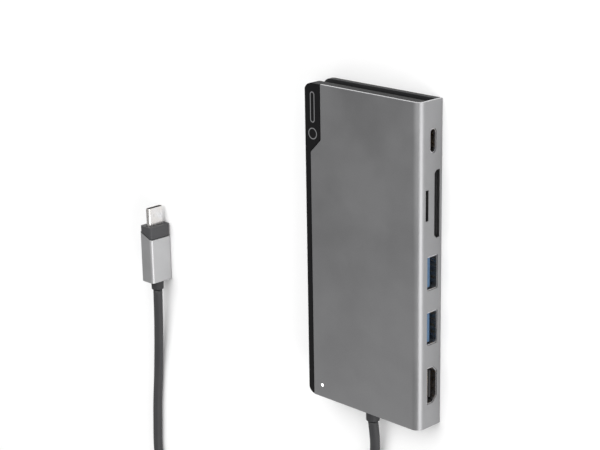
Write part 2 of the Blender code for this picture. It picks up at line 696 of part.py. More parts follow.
def make_boards():
    right = INNER_RIGHT - BOARD_MARGIN
    end = INNER_END - BOARD_MARGIN
    low = (INNER_LEFT + BOARD_MARGIN, -end)
    outline = rounded(low, (right, end), [0] * 4)
    main = piece(slab("main_board", [outline], BOARD_LOW, BOARD_TOP), "circuit_board")
    notch = BOSS_RADIUS + BOARD_MARGIN
    for number, place in enumerate(BOSS_PLACES, 1):
        cut(main, cylinder(f"cut_board_notch_{number}", place, notch, 0, BODY_HEIGHT))
    wide = SD_SLOT_WIDTH / 2 + SD_SIDE + GAP
    deep = INNER_RIGHT - SD_DEPTH - GAP
    room = ((deep, SD_CENTRE - wide, 0), (HALF_WIDTH, SD_CENTRE + wide, SD_SLOT_HIGH))
    cut(main, box("cut_board_sd", *room))
    left = right - UPPER_BOARD_DEPTH
    near = SD_CENTRE - wide
    far = USB_C_CENTRE + USB_C_WIDTH / 2 + UPPER_BOARD_MARGIN
    piece(box("upper_board", (left, near, UPPER_LOW), (right, far, UPPER_TOP)), "circuit_board")
    low = (left + BOARD_MARGIN, far - BOARD_MARGIN - HEADER_SIZE[1], BOARD_TOP + SEAT)
    high = (low[0] + HEADER_SIZE[0], far - BOARD_MARGIN, UPPER_LOW - SEAT)
    piece(box("board_header", low, high), "black_insulator")


def chip(name, centre, size, look="chip_resin", base=BOARD_TOP):
    """A block on a board, at its centre in (x, y). Returns the height of its top."""
    low = base + SEAT
    near = (centre[0] - size[0] / 2, centre[1] - size[1] / 2, low)
    far = (centre[0] + size[0] / 2, centre[1] + size[1] / 2, low + size[2])
    piece(box(name, near, far), look)
    return far[2]


def make_components():
    for name, x, distance, size, look in CABLE_END_PARTS:
        chip(name, (x, WIRE_HEADER_END + distance), size, look)
    for name, x, distance, size, look in FAR_END_PARTS:
        chip(name, (x, INNER_END - distance), size, look)
    card_chip = (INNER_RIGHT - UPPER_BOARD_DEPTH + CARD_CHIP_SIZE[0], USB_C_CENTRE)
    chip("card_reader_chip", card_chip, CARD_CHIP_SIZE, base=UPPER_TOP)
    video = (VIDEO_X, WIRE_HEADER_END + VIDEO_FROM_HEADER)
    can_top = chip("video_chip", video, VIDEO_SIZE) + GAP + SHEET
    chip("shield_can", video, (CAN_WIDTH, CAN_WIDTH, can_top - BOARD_TOP - SEAT), "plated_steel")
    inside = CAN_WIDTH / 2 - SHEET
    low = (video[0] - inside, video[1] - inside, 0)
    high = (video[0] + inside, video[1] + inside, can_top - SHEET)
    cut(bpy.data.objects["shield_can"], box("cut_can", low, high))
    led_top = chip("status_led", LED_PLACE, LED_SIZE, "white_nylon")
    flange_top = UNDER_PLATE - SEAT
    stem = LED_RADIUS
    flange_low = flange_top - LED_FLANGE
    tip = BODY_HEIGHT - LED_TIP_SINK
    profile = [(0, tip), (stem, tip), (stem, flange_top), (LED_FLANGE_RADIUS, flange_top)]
    foot = led_top + GAP
    profile += [(LED_FLANGE_RADIUS, flange_low), (stem, flange_low), (stem, foot), (0, foot)]
    pipe = piece(turned("light_pipe", profile), "clear_light_pipe")
    pipe.location = (*LED_PLACE, 0)


# Sockets in the port wall --------------------------------------------------------------------


def cut_windows(shell, name, place, size, heights):
    """Cuts two windows through both wide sides of a socket shell, one each side of its middle.

    The place is the windows' x, the socket's middle along Y and how far apart they are, the size is
    theirs along X and Y, and the heights are where the cut starts and ends.
    """
    x, centre, apart = place
    for side, y in (("near", centre - apart / 2), ("far", centre + apart / 2)):
        low = (x - size[0] / 2, y - size[1] / 2, heights[0])
        high = (x + size[0] / 2, y + size[1] / 2, heights[1])
        cut(shell, box(f"{name}_{side}_windows", low, high))


def make_usb_a(number, centre):
    back = MOUTH_X - USB_A_DEPTH
    outlines = [usb_a_outline(centre, 0), usb_a_outline(centre, -SHEET)]
    shell = piece(slab(f"usb_a_{number}_shell", outlines, back, MOUTH_X, "X"), "plated_steel")
    heights = (PORT_LOW - PAST, PORT_LOW + USB_A_HEIGHT + PAST)
    place = (MOUTH_X - USB_A_WINDOW_BACK, centre, USB_A_WINDOW_APART)
    cut_windows(shell, f"cut_usb_a_{number}", place, USB_A_WINDOW, heights)
    base_front = back + USB_A_BASE
    fit = SHEET + PORT_GAP
    base = (back + PORT_GAP, base_front, "X")
    body = slab(f"usb_a_{number}_tongue", [usb_a_outline(centre, -fit)], *base)
    insulator = piece(body, "blue_insulator")
    top = PORT_LOW + USB_A_HEIGHT - SHEET - USB_A_TONGUE_LIFT
    low = (base_front - PAST, centre - USB_A_TONGUE_WIDTH / 2, top - USB_A_TONGUE)
    high = (MOUTH_X - USB_A_TONGUE_RECESS, centre + USB_A_TONGUE_WIDTH / 2, top)
    join(insulator, box(f"join_usb_a_{number}_tongue", low, high))


def make_usb_c():
    back = MOUTH_X - USB_C_DEPTH
    outlines = [usb_c_outline(0), usb_c_outline(-SHEET)]
    piece(slab("usb_c_shell", outlines, back, MOUTH_X, "X"), "plated_steel")
    base_front = back + USB_C_BASE
    fit = SHEET + PORT_GAP
    body = slab("usb_c_tongue", [usb_c_outline(-fit)], back + PORT_GAP, base_front, "X")
    insulator = piece(body, "black_insulator")
    half = USB_C_TONGUE_WIDTH / 2
    low = (base_front - PAST, USB_C_CENTRE - half, USB_C_MIDDLE - USB_C_TONGUE / 2)
    high = (MOUTH_X - USB_C_TONGUE_RECESS, USB_C_CENTRE + half, USB_C_MIDDLE + USB_C_TONGUE / 2)
    join(insulator, box("join_usb_c_tongue", low, high))


def make_hdmi():
    back = MOUTH_X - HDMI_DEPTH
    outlines = [hdmi_outline(0), hdmi_outline(-SHEET)]
    shell = piece(slab("hdmi_shell", outlines, back, MOUTH_X, "X"), "plated_steel")
    heights = (PORT_LOW - PAST, PORT_LOW + HDMI_HEIGHT + PAST)
    place = (MOUTH_X - HDMI_WINDOW_BACK, HDMI_CENTRE, HDMI_WINDOW_APART)
    cut_windows(shell, "cut_hdmi", place, HDMI_WINDOW, heights)
    base_front = back + HDMI_BASE
    body = slab("hdmi_tongue", [hdmi_outline(-SHEET - PORT_GAP)], back + PORT_GAP, base_front, "X")
    insulator = piece(body, "black_insulator")
    middle = PORT_LOW + HDMI_HEIGHT - HDMI_SIDE_HEIGHT + HDMI_TONGUE_LIFT
    half = HDMI_TONGUE_WIDTH / 2
    low = (base_front - PAST, HDMI_CENTRE - half, middle - HDMI_TONGUE / 2)
    high = (MOUTH_X - HDMI_TONGUE_RECESS, HDMI_CENTRE + half, middle + HDMI_TONGUE / 2)
    join(insulator, box("join_hdmi_tongue", low, high))


def make_sd_socket():
    """A moulded tray, sunk in the main board, and the steel lid over it."""
    half = SD_SLOT_WIDTH / 2 + SD_SIDE
    back = INNER_RIGHT - SD_DEPTH
    floor = BOARD_LOW
    tray_top = SD_SLOT_HIGH
    low = (back, SD_CENTRE - half, floor)
    tray = box("sd_tray", low, (INNER_RIGHT, SD_CENTRE + half, tray_top))
    piece(tray, "black_insulator")
    inside = SD_SLOT_WIDTH / 2
    low = (back + SD_SIDE, SD_CENTRE - inside, SD_SLOT_LOW)
    cut(tray, box("cut_sd_card_room", low, (HALF_WIDTH, SD_CENTRE + inside, tray_top + PAST)))
    lid_low = tray_top + SEAT
    lid_high = (INNER_RIGHT, SD_CENTRE + half, lid_low + SHEET)
    piece(box("sd_lid", (back, SD_CENTRE - half, lid_low), lid_high), "plated_steel")


def make_micro_sd_socket():
    """A tray with a card channel and a slide channel, its steel lid, the ejector and its spring."""
    inside = MICRO_SLOT_WIDTH / 2
    back = INNER_RIGHT - MICRO_DEPTH
    channel = SLIDE_WIDTH + 2 * SLIDE_CLEARANCE
    low_side = MICRO_CENTRE - inside - MICRO_RAIL
    rail_low = MICRO_CENTRE + inside + MICRO_RAIL
    high_side = rail_low + channel + MICRO_RAIL
    card_floor = MICRO_LOW + MICRO_FLOOR
    tray_top = card_floor + SLIDE_THICKNESS + 2 * SLIDE_CLEARANCE
    tray = box("micro_sd_tray", (back, low_side, MICRO_LOW), (INNER_RIGHT, high_side, tray_top))
    piece(tray, "black_insulator")
    card_low = (back + MICRO_RAIL, low_side + MICRO_RAIL, card_floor)
    card_high = (HALF_WIDTH, rail_low - MICRO_RAIL, tray_top + PAST)
    cut(tray, box("cut_micro_card_room", card_low, card_high))
    lane = (back + MICRO_RAIL, rail_low, card_floor)
    lane_end = (INNER_RIGHT - MICRO_RAIL, rail_low + channel, tray_top + PAST)
    cut(tray, box("cut_slide_lane", lane, lane_end))
    heel_x = back + MICRO_RAIL + SLIDE_TRAVEL + 2 * SLIDE_CLEARANCE + SPRING_ROOM
    gate = (heel_x - SLIDE_TRAVEL - SLIDE_CLEARANCE, rail_low - MICRO_RAIL - PAST, card_floor)
    gate_end = (heel_x + SLIDE_WIDTH + SLIDE_CLEARANCE, rail_low + PAST / 2, tray_top + PAST)
    cut(tray, box("cut_heel_gate", gate, gate_end))
    lid_low = tray_top + SEAT
    lid = box("micro_sd_lid", (back, low_side, lid_low), (INNER_RIGHT, high_side, lid_low + SHEET))
    piece(lid, "plated_steel")
    bar_low = rail_low + SLIDE_CLEARANCE
    outline = [
        (heel_x, bar_low - MICRO_RAIL - SLIDE_HEEL),
        (heel_x + SLIDE_WIDTH, bar_low - MICRO_RAIL - SLIDE_HEEL),
        (heel_x + SLIDE_WIDTH, bar_low),
        (heel_x + SLIDE_BAR, bar_low),
        (heel_x + SLIDE_BAR, bar_low + SLIDE_WIDTH),
        (heel_x, bar_low + SLIDE_WIDTH),
    ]
    slide_low = card_floor + SLIDE_CLEARANCE
    slide = slab("card_ejector", [outline], slide_low, slide_low + SLIDE_THICKNESS)
    piece(slide, "black_insulator")
    start = back + MICRO_RAIL + SLIDE_CLEARANCE + SPRING_WIRE
    end = heel_x - SLIDE_CLEARANCE - SPRING_WIRE
    centre = (bar_low + SLIDE_WIDTH / 2, slide_low + SLIDE_THICKNESS / 2)
    steps = SPRING_TURNS * SPRING_STEPS
    points = []
    for step in range(steps + 1):
        angle = radians(360 / SPRING_STEPS * step)
        x = start + (end - start) * step / steps
        y = centre[0] + SPRING_RADIUS * cos(angle)
        points.append((x, y, centre[1] + SPRING_RADIUS * sin(angle)))
    piece(tube("ejector_spring", points, SPRING_WIRE, 0), "plated_steel")


# Cable ---------------------------------------------------------------------------------------

# The cord's way from the grommet to the plug, as points that it passes smoothly.
ROUTE = [
    (0.0000, -HALF_LENGTH - COLLAR_LENGTH - GAP, CABLE_Z),
    (-0.0008, -0.0790, 0.0042),
    (-0.0045, -0.0930, 0.0023),
    (-0.0150, -0.1080, 0.0021),
    (-0.0330, -0.1195, 0.0021),
    (-0.0560, -0.1290, 0.0021),
    (-0.0800, -0.1385, 0.0021),
    (-0.1030, -0.1465, 0.0021),
    (-0.1230, -0.1450, 0.0021),
    (-0.1335, -0.1290, 0.0021),
    (-0.1338, -0.1060, 0.0021),
    (-0.1315, -0.0840, 0.0023),
    (-0.1277, -0.0620, 0.0042),
    (PLUG_X, PLUG_Y - PLUG_COLLAR_LENGTH - GAP, PLUG_WIDTH / 2),
]


def smooth_route(points, per_span):
    """Points along a smooth curve through the route, with even steps in each span."""
    route = [Vector(point) for point in points]
    smooth = [route[0]]
    for index in range(len(route) - 1):
        start, end = route[index], route[index + 1]
        before = route[max(index - 1, 0)]
        after = route[min(index + 2, len(route) - 1)]
        leave = start + (end - before) / 6
        reach = end - (after - start) / 6
        smooth += interpolate_bezier(start, leave, reach, end, per_span + 1)[1:]
    return smooth


def make_cable():
    collar = [(0, COLLAR_LENGTH), (COLLAR_TIP_RADIUS, COLLAR_LENGTH), (COLLAR_RADIUS, GAP)]
    neck_end = -FRAME_WALL - GAP
    flange_end = neck_end - GROMMET_FLANGE_LENGTH
    profile = collar + [(GROMMET_NECK, GAP), (GROMMET_NECK, neck_end), (GROMMET_FLANGE, neck_end)]
    profile += [(GROMMET_FLANGE, flange_end), (0, flange_end)]
    grommet = piece(turned("cable_grommet", profile), "black_rubber")
    grommet.location = (0, -HALF_LENGTH, CABLE_Z)
    grommet.rotation_euler = (radians(90), 0, 0)
    start = INNER_CABLE_START
    end = start + INNER_CABLE_LENGTH
    bottom = BOARD_TOP + CORD_RADIUS + GAP
    inside = [
        (0, start, CABLE_Z),
        (0, start + INNER_CABLE_STRAIGHT, CABLE_Z),
        (0, end - INNER_CABLE_STRAIGHT, bottom),
        (0, end, bottom),
    ]
    piece(tube("inner_cable", smooth_route(inside, 3), CORD_RADIUS, 2), "black_rubber")
    chip("wire_plug", (0, WIRE_PLUG_Y + WIRE_PLUG_SIZE[1] / 2), WIRE_PLUG_SIZE, "white_nylon")
    header_y = WIRE_HEADER_Y + WIRE_HEADER_SIZE[1] / 2
    chip("wire_header", (0, header_y), WIRE_HEADER_SIZE, "white_nylon")
    piece(tube("cord", smooth_route(ROUTE, 3), CORD_RADIUS, 2), "black_rubber")


# Plug, in its own frame: tip towards +Y, thickness along X, width along Z ---------------------


def plug_outline(grow):
    """The plug's cross-section in (x, z), moved out by grow."""
    size = (PLUG_THICKNESS + 2 * grow, PLUG_WIDTH + 2 * grow)
    return centred((0, 0), size, PLUG_CORNER + grow)


def slanted_end(name, start, slope, far):
    """A block that fills all beyond a slanted plane, start at +X and further on at -X."""
    half = PLUG_THICKNESS
    rise = slope * half / (PLUG_THICKNESS / 2)
    corners = [(half, start - rise / 2), (half, far), (-half, far), (-half, start + rise / 2)]
    return slab(name, [corners], -PLUG_WIDTH, PLUG_WIDTH)


def make_plug():
    front = SLEEVE_LENGTH + NOSE_LENGTH
    seam = SLEEVE_LENGTH + SLEEVE_SLANT / 2
    beyond = front + 2 * PAST
    outlines = [plug_outline(0), plug_outline(-SLEEVE_WALL)]
    sleeve = piece(slab("plug_sleeve", outlines, 0, beyond, "Y"), "anodised_aluminium", PLUG)
    cut(sleeve, slanted_end("cut_sleeve_front", seam, SLEEVE_SLANT, beyond + PAST))
    end_wall = slab("join_sleeve_end", [plug_outline(-SLEEVE_WALL / 2)], PAST / 5, SLEEVE_WALL, "Y")
    join(sleeve, end_wall)
    throat = cylinder("cut_sleeve_throat", (0, 0), CORD_RADIUS, -PAST, SLEEVE_WALL + PAST, "Y")
    cut(sleeve, throat)
    block = slab("plug_nose", [plug_outline(-NOSE_INSET)], seam - SLEEVE_SLANT, front, "Y")
    nose = piece(block, "nose_plastic", PLUG)
    bevel(nose, NOSE_EDGE)
    half = PLUG_THICKNESS
    rise = SLEEVE_SLANT * half / (PLUG_THICKNESS / 2)
    step = seam + GAP
    behind = [(half, -PAST), (half, step - rise / 2), (-half, step + rise / 2), (-half, -PAST)]
    cut(nose, slab("cut_nose_back", [behind], -PLUG_WIDTH, PLUG_WIDTH))
    tenon_end = SLEEVE_LENGTH - NOSE_TENON
    tenon = plug_outline(-SLEEVE_WALL - GAP)
    join(nose, slab("join_nose_tenon", [tenon], tenon_end, front - PAST, "Y"))
    tip = centred((0, 0), (TIP_THICKNESS, TIP_WIDTH), TIP_THICKNESS / 2)
    seat_size = (TIP_THICKNESS + 2 * SEAT, TIP_WIDTH + 2 * SEAT)
    tip_seat = centred((0, 0), seat_size, TIP_THICKNESS / 2 + SEAT)
    tip_start = front - TIP_ROOT
    cut(nose, slab("cut_tip_seat", [tip_seat], tip_start - SEAT, front + PAST, "Y"))
    inner = TIP_THICKNESS - 2 * TIP_SHEET
    hollow = centred((0, 0), (inner, TIP_WIDTH - 2 * TIP_SHEET), inner / 2)
    tip_end = front + TIP_LENGTH
    piece(slab("plug_tip_shell", [tip, hollow], tip_start, tip_end, "Y"), "plated_steel", PLUG)
    core_size = (inner - 2 * SEAT, TIP_WIDTH - 2 * TIP_SHEET - 2 * SEAT)
    core = centred((0, 0), core_size, inner / 2 - SEAT)
    insulator = slab("plug_tip_insulator", [core], tip_start, tip_end - TIP_CORE_RECESS, "Y")
    piece(insulator, "black_insulator", PLUG)
    slot = centred((0, 0), TIP_SLOT, 0)
    slot_start = front + TIP_SLOT_START
    cut(insulator, slab("cut_tip_mating_slot", [slot], slot_start, tip_end + PAST, "Y"))
    board_end = tenon_end - GAP
    low = (-MAIN_BOARD / 2, PLUG_BOARD_START, -PLUG_BOARD_WIDTH / 2)
    high = (MAIN_BOARD / 2, board_end, PLUG_BOARD_WIDTH / 2)
    piece(box("plug_board", low, high), "circuit_board", PLUG)
    collar_inner = CORD_RADIUS - GAP
    collar_end = PLUG_COLLAR_LENGTH
    profile = [(0, collar_end), (COLLAR_TIP_RADIUS, collar_end), (COLLAR_RADIUS, GAP)]
    root = -PLUG_COLLAR_ROOT
    profile += [(collar_inner, GAP), (collar_inner, root), (0, root)]
    collar = piece(turned("plug_collar", profile), "black_rubber", PLUG)
    collar.rotation_euler = (radians(90), 0, 0)


make_top_shell()
make_side_frame()
make_bottom_cover()
make_case_screws()
make_boards()
make_components()
make_usb_a(1, USB_A_1_CENTRE)
make_usb_a(2, USB_A_2_CENTRE)
make_usb_c()
make_hdmi()
make_sd_socket()
make_micro_sd_socket()
make_cable()
make_plug()
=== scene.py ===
# %% [markdown]
# # A laptop docking station, lying on a desk
#
# The dock is a slim bar: one bent sheet of aluminium makes the plate, the rounded long edge and the
# wall with the ports, and a black plastic frame closes the other sides. A short cable leaves one end
# and runs to a plug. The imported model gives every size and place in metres. This script gives each
# piece its finish and its fine shape, cell by cell.

import math

import bmesh
import bpy
from mathutils import Matrix, Vector
from mathutils.geometry import interpolate_bezier


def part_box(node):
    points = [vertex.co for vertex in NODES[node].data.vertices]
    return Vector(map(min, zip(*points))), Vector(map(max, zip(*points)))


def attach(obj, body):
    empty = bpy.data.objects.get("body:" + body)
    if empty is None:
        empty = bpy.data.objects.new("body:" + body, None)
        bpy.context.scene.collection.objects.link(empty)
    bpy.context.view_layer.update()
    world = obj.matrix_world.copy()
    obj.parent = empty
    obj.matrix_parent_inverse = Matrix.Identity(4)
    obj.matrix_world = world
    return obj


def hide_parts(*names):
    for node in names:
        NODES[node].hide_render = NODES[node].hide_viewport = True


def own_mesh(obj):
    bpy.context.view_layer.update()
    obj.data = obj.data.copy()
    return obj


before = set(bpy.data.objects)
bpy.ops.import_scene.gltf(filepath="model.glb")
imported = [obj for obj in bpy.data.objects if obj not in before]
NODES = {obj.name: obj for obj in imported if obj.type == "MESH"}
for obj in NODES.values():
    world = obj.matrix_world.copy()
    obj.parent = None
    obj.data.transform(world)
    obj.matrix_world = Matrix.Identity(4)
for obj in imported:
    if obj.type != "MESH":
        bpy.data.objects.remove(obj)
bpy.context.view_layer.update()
MM = 0.001
print("pieces in the model:", len(NODES))

# %% [markdown]
# ## Camera
#
# A long lens, well back and above the desk, on the side of the ports. Its place and turn are plain
# numbers, so that every render starts from the same view. A long lens keeps the dock's sides nearly
# parallel, as product pictures do. The picture uses the plain sRGB curve, because a product picture
# on white keeps its white paper white.

# %% Camera
def add_object(name, data):
    """Puts a camera, lamp, mesh or curve in the scene."""
    obj = bpy.data.objects.new(name, data)
    bpy.context.scene.collection.objects.link(obj)
    return obj


camera_data = bpy.data.cameras.new("product_camera")
camera_data.lens = 97.33
camera_data.sensor_width = 36.0
camera_data.clip_start = 0.01
camera_data.clip_end = 20.0
camera = add_object("product_camera", camera_data)
sideways = Vector((0.70903, -0.01695, -0.70497)).normalized()
backwards = Vector((0.67753, 0.29353, 0.67438)).normalized()
upwards = backwards.cross(sideways).normalized()
sideways = upwards.cross(backwards)
camera_turn = Matrix((sideways, upwards, backwards)).transposed().to_4x4()
camera.matrix_world = Matrix.Translation((0.38486, 0.18599, 0.42667)) @ camera_turn
bpy.context.scene.camera = camera
bpy.context.scene.view_settings.view_transform = "Standard"
print("camera is", round(camera.location.length, 3), "m from the dock's middle")

# %% [markdown]
# ## Shader helper
#
# A finish is a small network of nodes. Long networks are hard to read as lists of links, so one
# small class wraps a socket and lets Python's own signs add the Math nodes. Patterns are laid out in
# metres, so a noise with a scale of 5000 has grains of about a fifth of a millimetre.

# %% Shader helper
class Wire:
    """One output of a material's nodes. Python's signs on it add Math nodes."""

    def __init__(self, finish, socket):
        self.finish = finish
        self.socket = socket

    def __add__(self, other):
        return self.finish.maths("ADD", self, other)

    def __radd__(self, other):
        return self.finish.maths("ADD", other, self)

    def __sub__(self, other):
        return self.finish.maths("SUBTRACT", self, other)

    def __rsub__(self, other):
        return self.finish.maths("SUBTRACT", other, self)

    def __mul__(self, other):
        return self.finish.maths("MULTIPLY", self, other)

    def __rmul__(self, other):
        return self.finish.maths("MULTIPLY", other, self)


class Finish:
    """A material, made from a Principled shader and the nodes that feed it."""

    def __init__(self, name, colour, roughness, metallic=0.0, **fixed):
        self.material = bpy.data.materials.new(name)
        self.material.use_nodes = True
        self.tree = self.material.node_tree
        self.shader = self.tree.nodes["Principled BSDF"]
        self.surface(Base_Color=colour, Roughness=roughness, Metallic=metallic, **fixed)

    def surface(self, **values):
        """Sets or links the shader's own sockets."""
        self.feed(self.shader, {name.replace("_", " "): value for name, value in values.items()})

    def feed(self, node, values):
        """Sets or links sockets. A tuple of three is a colour where the socket holds four numbers."""
        for key, value in values.items():
            socket = node.inputs[key]
            if isinstance(value, Wire):
                self.tree.links.new(value.socket, socket)
            elif isinstance(value, tuple) and len(socket.default_value) == 4:
                socket.default_value = (*value, 1.0)
            else:
                socket.default_value = value

    def node(self, kind, settings, values, output=0):
        """A node of any kind: its settings first, then its sockets."""
        node = self.tree.nodes.new("ShaderNode" + kind)
        for key, value in settings.items():
            setattr(node, key, value)
        self.feed(node, values)
        return Wire(self, node.outputs[output])

    def maths(self, operation, first, second=0.0):
        return self.node("Math", {"operation": operation}, {0: first, 1: second})

    def place(self, scale=1.0):
        """Where a point is on the piece, in metres times scale along each axis."""
        point = self.node("TexCoord", {}, {}, "Object")
        stretch = scale if isinstance(scale, tuple) else (scale, scale, scale)
        return self.node("Mapping", {}, {"Vector": point, "Scale": stretch})

    def axis(self, name):
        """One coordinate of the point on the piece, in metres."""
        return self.node("SeparateXYZ", {}, {0: self.place()}, name)

    def noise(self, where, scale, detail=2.0, roughness=0.5):
        values = {"Vector": where, "Scale": scale, "Detail": detail, "Roughness": roughness}
        return self.node("TexNoise", {}, values)

    def cells(self, where, scale):
        """Distance to the middle of the nearest of many scattered cells."""
        return self.node("TexVoronoi", {}, {"Vector": where, "Scale": scale}, "Distance")

    def range(self, value, low, high, to_low, to_high):
        """value from low..high onto to_low..to_high, held at the ends."""
        names = ("Value", "From Min", "From Max", "To Min", "To Max")
        values = dict(zip(names, (value, low, high, to_low, to_high)))
        return self.node("MapRange", {"clamp": True}, values)

    def mix(self, share, first, second):
        """A colour between two colours."""
        return self.node("Mix", {"data_type": "RGBA"}, {0: share, 6: first, 7: second}, 2)

    def bump(self, height, distance, strength=1.0):
        values = {"Height": height, "Distance": distance, "Strength": strength}
        self.feed(self.shader, {"Normal": self.node("Bump", {}, values)})


# %% [markdown]
# ## Finishes of the outside
#
# The plate is bead-blasted and then anodised: shallow dimples about a tenth of a millimetre across
# scatter the light, and the dye takes a little unevenly. A noise of that size goes through a Bump
# node, and a slow noise shifts the colour and the roughness. The edges that are cut after the
# blasting stay smooth and bright, so they have a finish of their own.

# %% Aluminium
def blasted_aluminium(name, colour, roughness):
    finish = Finish(name, colour, roughness, 1.0)
    where = finish.place()
    dye = finish.noise(where, 45.0, 3.0)
    grain = finish.noise(where, 5200.0, 2.0, 0.6)
    darker = tuple(part * 0.93 for part in colour)
    lighter = tuple(part * 1.06 for part in colour)
    tone = finish.mix(finish.range(dye, 0.35, 0.65, 0.0, 1.0), darker, lighter)
    shade = finish.range(grain, 0.3, 0.7, 0.0, 1.0)
    finish.surface(Base_Color=finish.mix(shade * 0.12, tone, (0.52, 0.52, 0.53)))
    rough = finish.range(dye, 0.3, 0.7, roughness - 0.03, roughness + 0.03) + shade * 0.05
    finish.surface(Roughness=rough)
    finish.bump(grain, 0.000012, 0.5)
    return finish


aluminium = blasted_aluminium("blasted_aluminium", (0.285, 0.285, 0.29), 0.40)
plug_aluminium = blasted_aluminium("plug_aluminium", (0.48, 0.48, 0.485), 0.42)
cut_edge = Finish("cut_aluminium_edge", (0.62, 0.62, 0.63), 0.3, 1.0)
edge_marks = cut_edge.noise(cut_edge.place((900.0, 60.0, 900.0)), 1.0, 3.0)
cut_edge.surface(Roughness=cut_edge.range(edge_marks, 0.3, 0.7, 0.22, 0.36))
cut_edge.bump(edge_marks, 0.000004, 0.4)
print("aluminium finishes:", aluminium.material.name, plug_aluminium.material.name)

# %% [markdown]
# ## Black plastic
#
# The frame and the cover are moulded in black plastic with a fine spark-eroded texture: tiny rounded
# pits, which cells and noise together give. The inlay in the plate's corner carries a plain printed
# mark, a ring over a bar, drawn from distances in the piece's own coordinates: a ring is where the
# distance from its middle lies between two radii.

# %% Black plastic
MARK_X = -0.0239
RING_Y = 0.0425
RING_RADIUS = 2.0 * MM
BAR_LOW = 0.0478
BAR_HIGH = 0.0572
BAR_RADIUS = 0.95 * MM
LINE = 0.34 * MM
LINE_BLUR = 0.05 * MM
PRINT_LOW, PRINT_FULL = 0.0118, 0.0121


def spark_texture(finish, roughness, depth):
    """Pits and slow changes of gloss, as a spark-eroded mould leaves them."""
    where = finish.place()
    pits = finish.cells(where, 4200.0)
    grain = finish.noise(where, 2600.0, 3.0)
    slow = finish.noise(where, 30.0, 2.0)
    rough = finish.range(slow, 0.3, 0.7, roughness - 0.04, roughness + 0.04)
    finish.surface(Roughness=rough + grain * 0.06)
    finish.bump(pits * 0.6 + grain * 0.4, depth, 0.6)
    return slow


def band(finish, value, middle, half):
    """1 where value is no further than half from middle, with a soft edge."""
    away = finish.maths("ABSOLUTE", value - middle)
    return finish.range(away, half - LINE_BLUR, half + LINE_BLUR, 1.0, 0.0)


def printed_mark(finish):
    """1 on the lines of a ring and a long bar, printed on the inlay's upper face."""
    x, y = finish.axis("X") - MARK_X, finish.axis("Y")
    from_ring = y - RING_Y
    ring_distance = finish.maths("SQRT", x * x + from_ring * from_ring)
    ring = band(finish, ring_distance, RING_RADIUS, LINE / 2)
    beyond = finish.maths("ABSOLUTE", y - (BAR_LOW + BAR_HIGH) / 2) - (BAR_HIGH - BAR_LOW) / 2
    beyond = finish.maths("MAXIMUM", beyond, 0.0)
    bar_distance = finish.maths("SQRT", x * x + beyond * beyond)
    bar = band(finish, bar_distance, BAR_RADIUS, LINE / 2)
    on_top = finish.range(finish.axis("Z"), PRINT_LOW, PRINT_FULL, 0.0, 1.0)
    return finish.maths("MAXIMUM", ring, bar) * on_top


frame_plastic = Finish("frame_plastic", (0.012, 0.012, 0.013), 0.45, Specular_IOR_Level=0.12)
slow_tone = spark_texture(frame_plastic, 0.46, 0.00001)
black = frame_plastic.mix(slow_tone, (0.004, 0.004, 0.0045), (0.007, 0.007, 0.0075))
printed = frame_plastic.mix(printed_mark(frame_plastic), black, (0.20, 0.20, 0.205))
frame_plastic.surface(Base_Color=printed)

cover_plastic = Finish("cover_plastic", (0.016, 0.016, 0.017), 0.5, Specular_IOR_Level=0.35)
cover_tone = spark_texture(cover_plastic, 0.52, 0.000016)
cover_colour = cover_plastic.mix(cover_tone, (0.013, 0.013, 0.014), (0.02, 0.02, 0.021))
cover_plastic.surface(Base_Color=cover_colour)

nose_plastic = Finish("nose_plastic_finish", (0.045, 0.045, 0.048), 0.45)
nose_tone = spark_texture(nose_plastic, 0.46, 0.00001)
nose_colour = nose_plastic.mix(nose_tone, (0.038, 0.038, 0.04), (0.055, 0.055, 0.058))
nose_plastic.surface(Base_Color=nose_colour)
print("plastics:", [item.material.name for item in (frame_plastic, cover_plastic, nose_plastic)])

# %% [markdown]
# ## Metal of the ports
#
# Port shells, lids and the shield can are thin steel, stamped, folded and nickel-plated. Rolling
# leaves faint lines along the sheet and the plating is a little warm. The contacts are gold-plated
# copper, smooth and yellow.

# %% Plated metals
def plated(name, colour, roughness, stretch):
    finish = Finish(name, colour, roughness, 1.0)
    lines = finish.noise(finish.place(stretch), 1.0, 3.0, 0.6)
    patches = finish.noise(finish.place(), 160.0, 2.0)
    warm = (colour[0] * 0.97, colour[1] * 0.93, colour[2] * 0.88)
    finish.surface(Base_Color=finish.mix(finish.range(patches, 0.35, 0.65, 0.0, 1.0), colour, warm))
    finish.surface(Roughness=finish.range(lines, 0.3, 0.7, roughness - 0.07, roughness + 0.09))
    finish.bump(lines, 0.000004, 0.35)
    return finish


steel = plated("plated_steel_finish", (0.62, 0.62, 0.64), 0.28, (250.0, 4200.0, 4200.0))
plug_steel = plated("plug_steel_finish", (0.72, 0.72, 0.73), 0.24, (4200.0, 260.0, 4200.0))
gold = plated("contact_gold", (0.83, 0.60, 0.26), 0.25, (300.0, 5000.0, 5000.0))
print("metals:", [item.material.name for item in (steel, plug_steel, gold)])

# %% [markdown]
# ## Moulded insulators, boards and chips
#
# A port's tongue is moulded nylon with flow lines and a slight gloss. A circuit board is glass fibre
# under green lacquer: the weave shows as a faint grid, and copper tracks raise the lacquer in lines.
# The tracks are a brick pattern, whose long bricks read as parallel runs.

# %% Moulded parts
def moulded(name, dark, light, roughness):
    finish = Finish(name, dark, roughness)
    flow = finish.noise(finish.place((500.0, 1400.0, 1400.0)), 1.0, 3.0)
    speck = finish.noise(finish.place(), 3000.0, 2.0)
    finish.surface(Base_Color=finish.mix(finish.range(flow, 0.3, 0.7, 0.0, 1.0), dark, light))
    finish.surface(Roughness=finish.range(speck, 0.3, 0.7, roughness - 0.06, roughness + 0.06))
    finish.bump(flow * 0.4 + speck * 0.6, 0.000006, 0.5)
    return finish


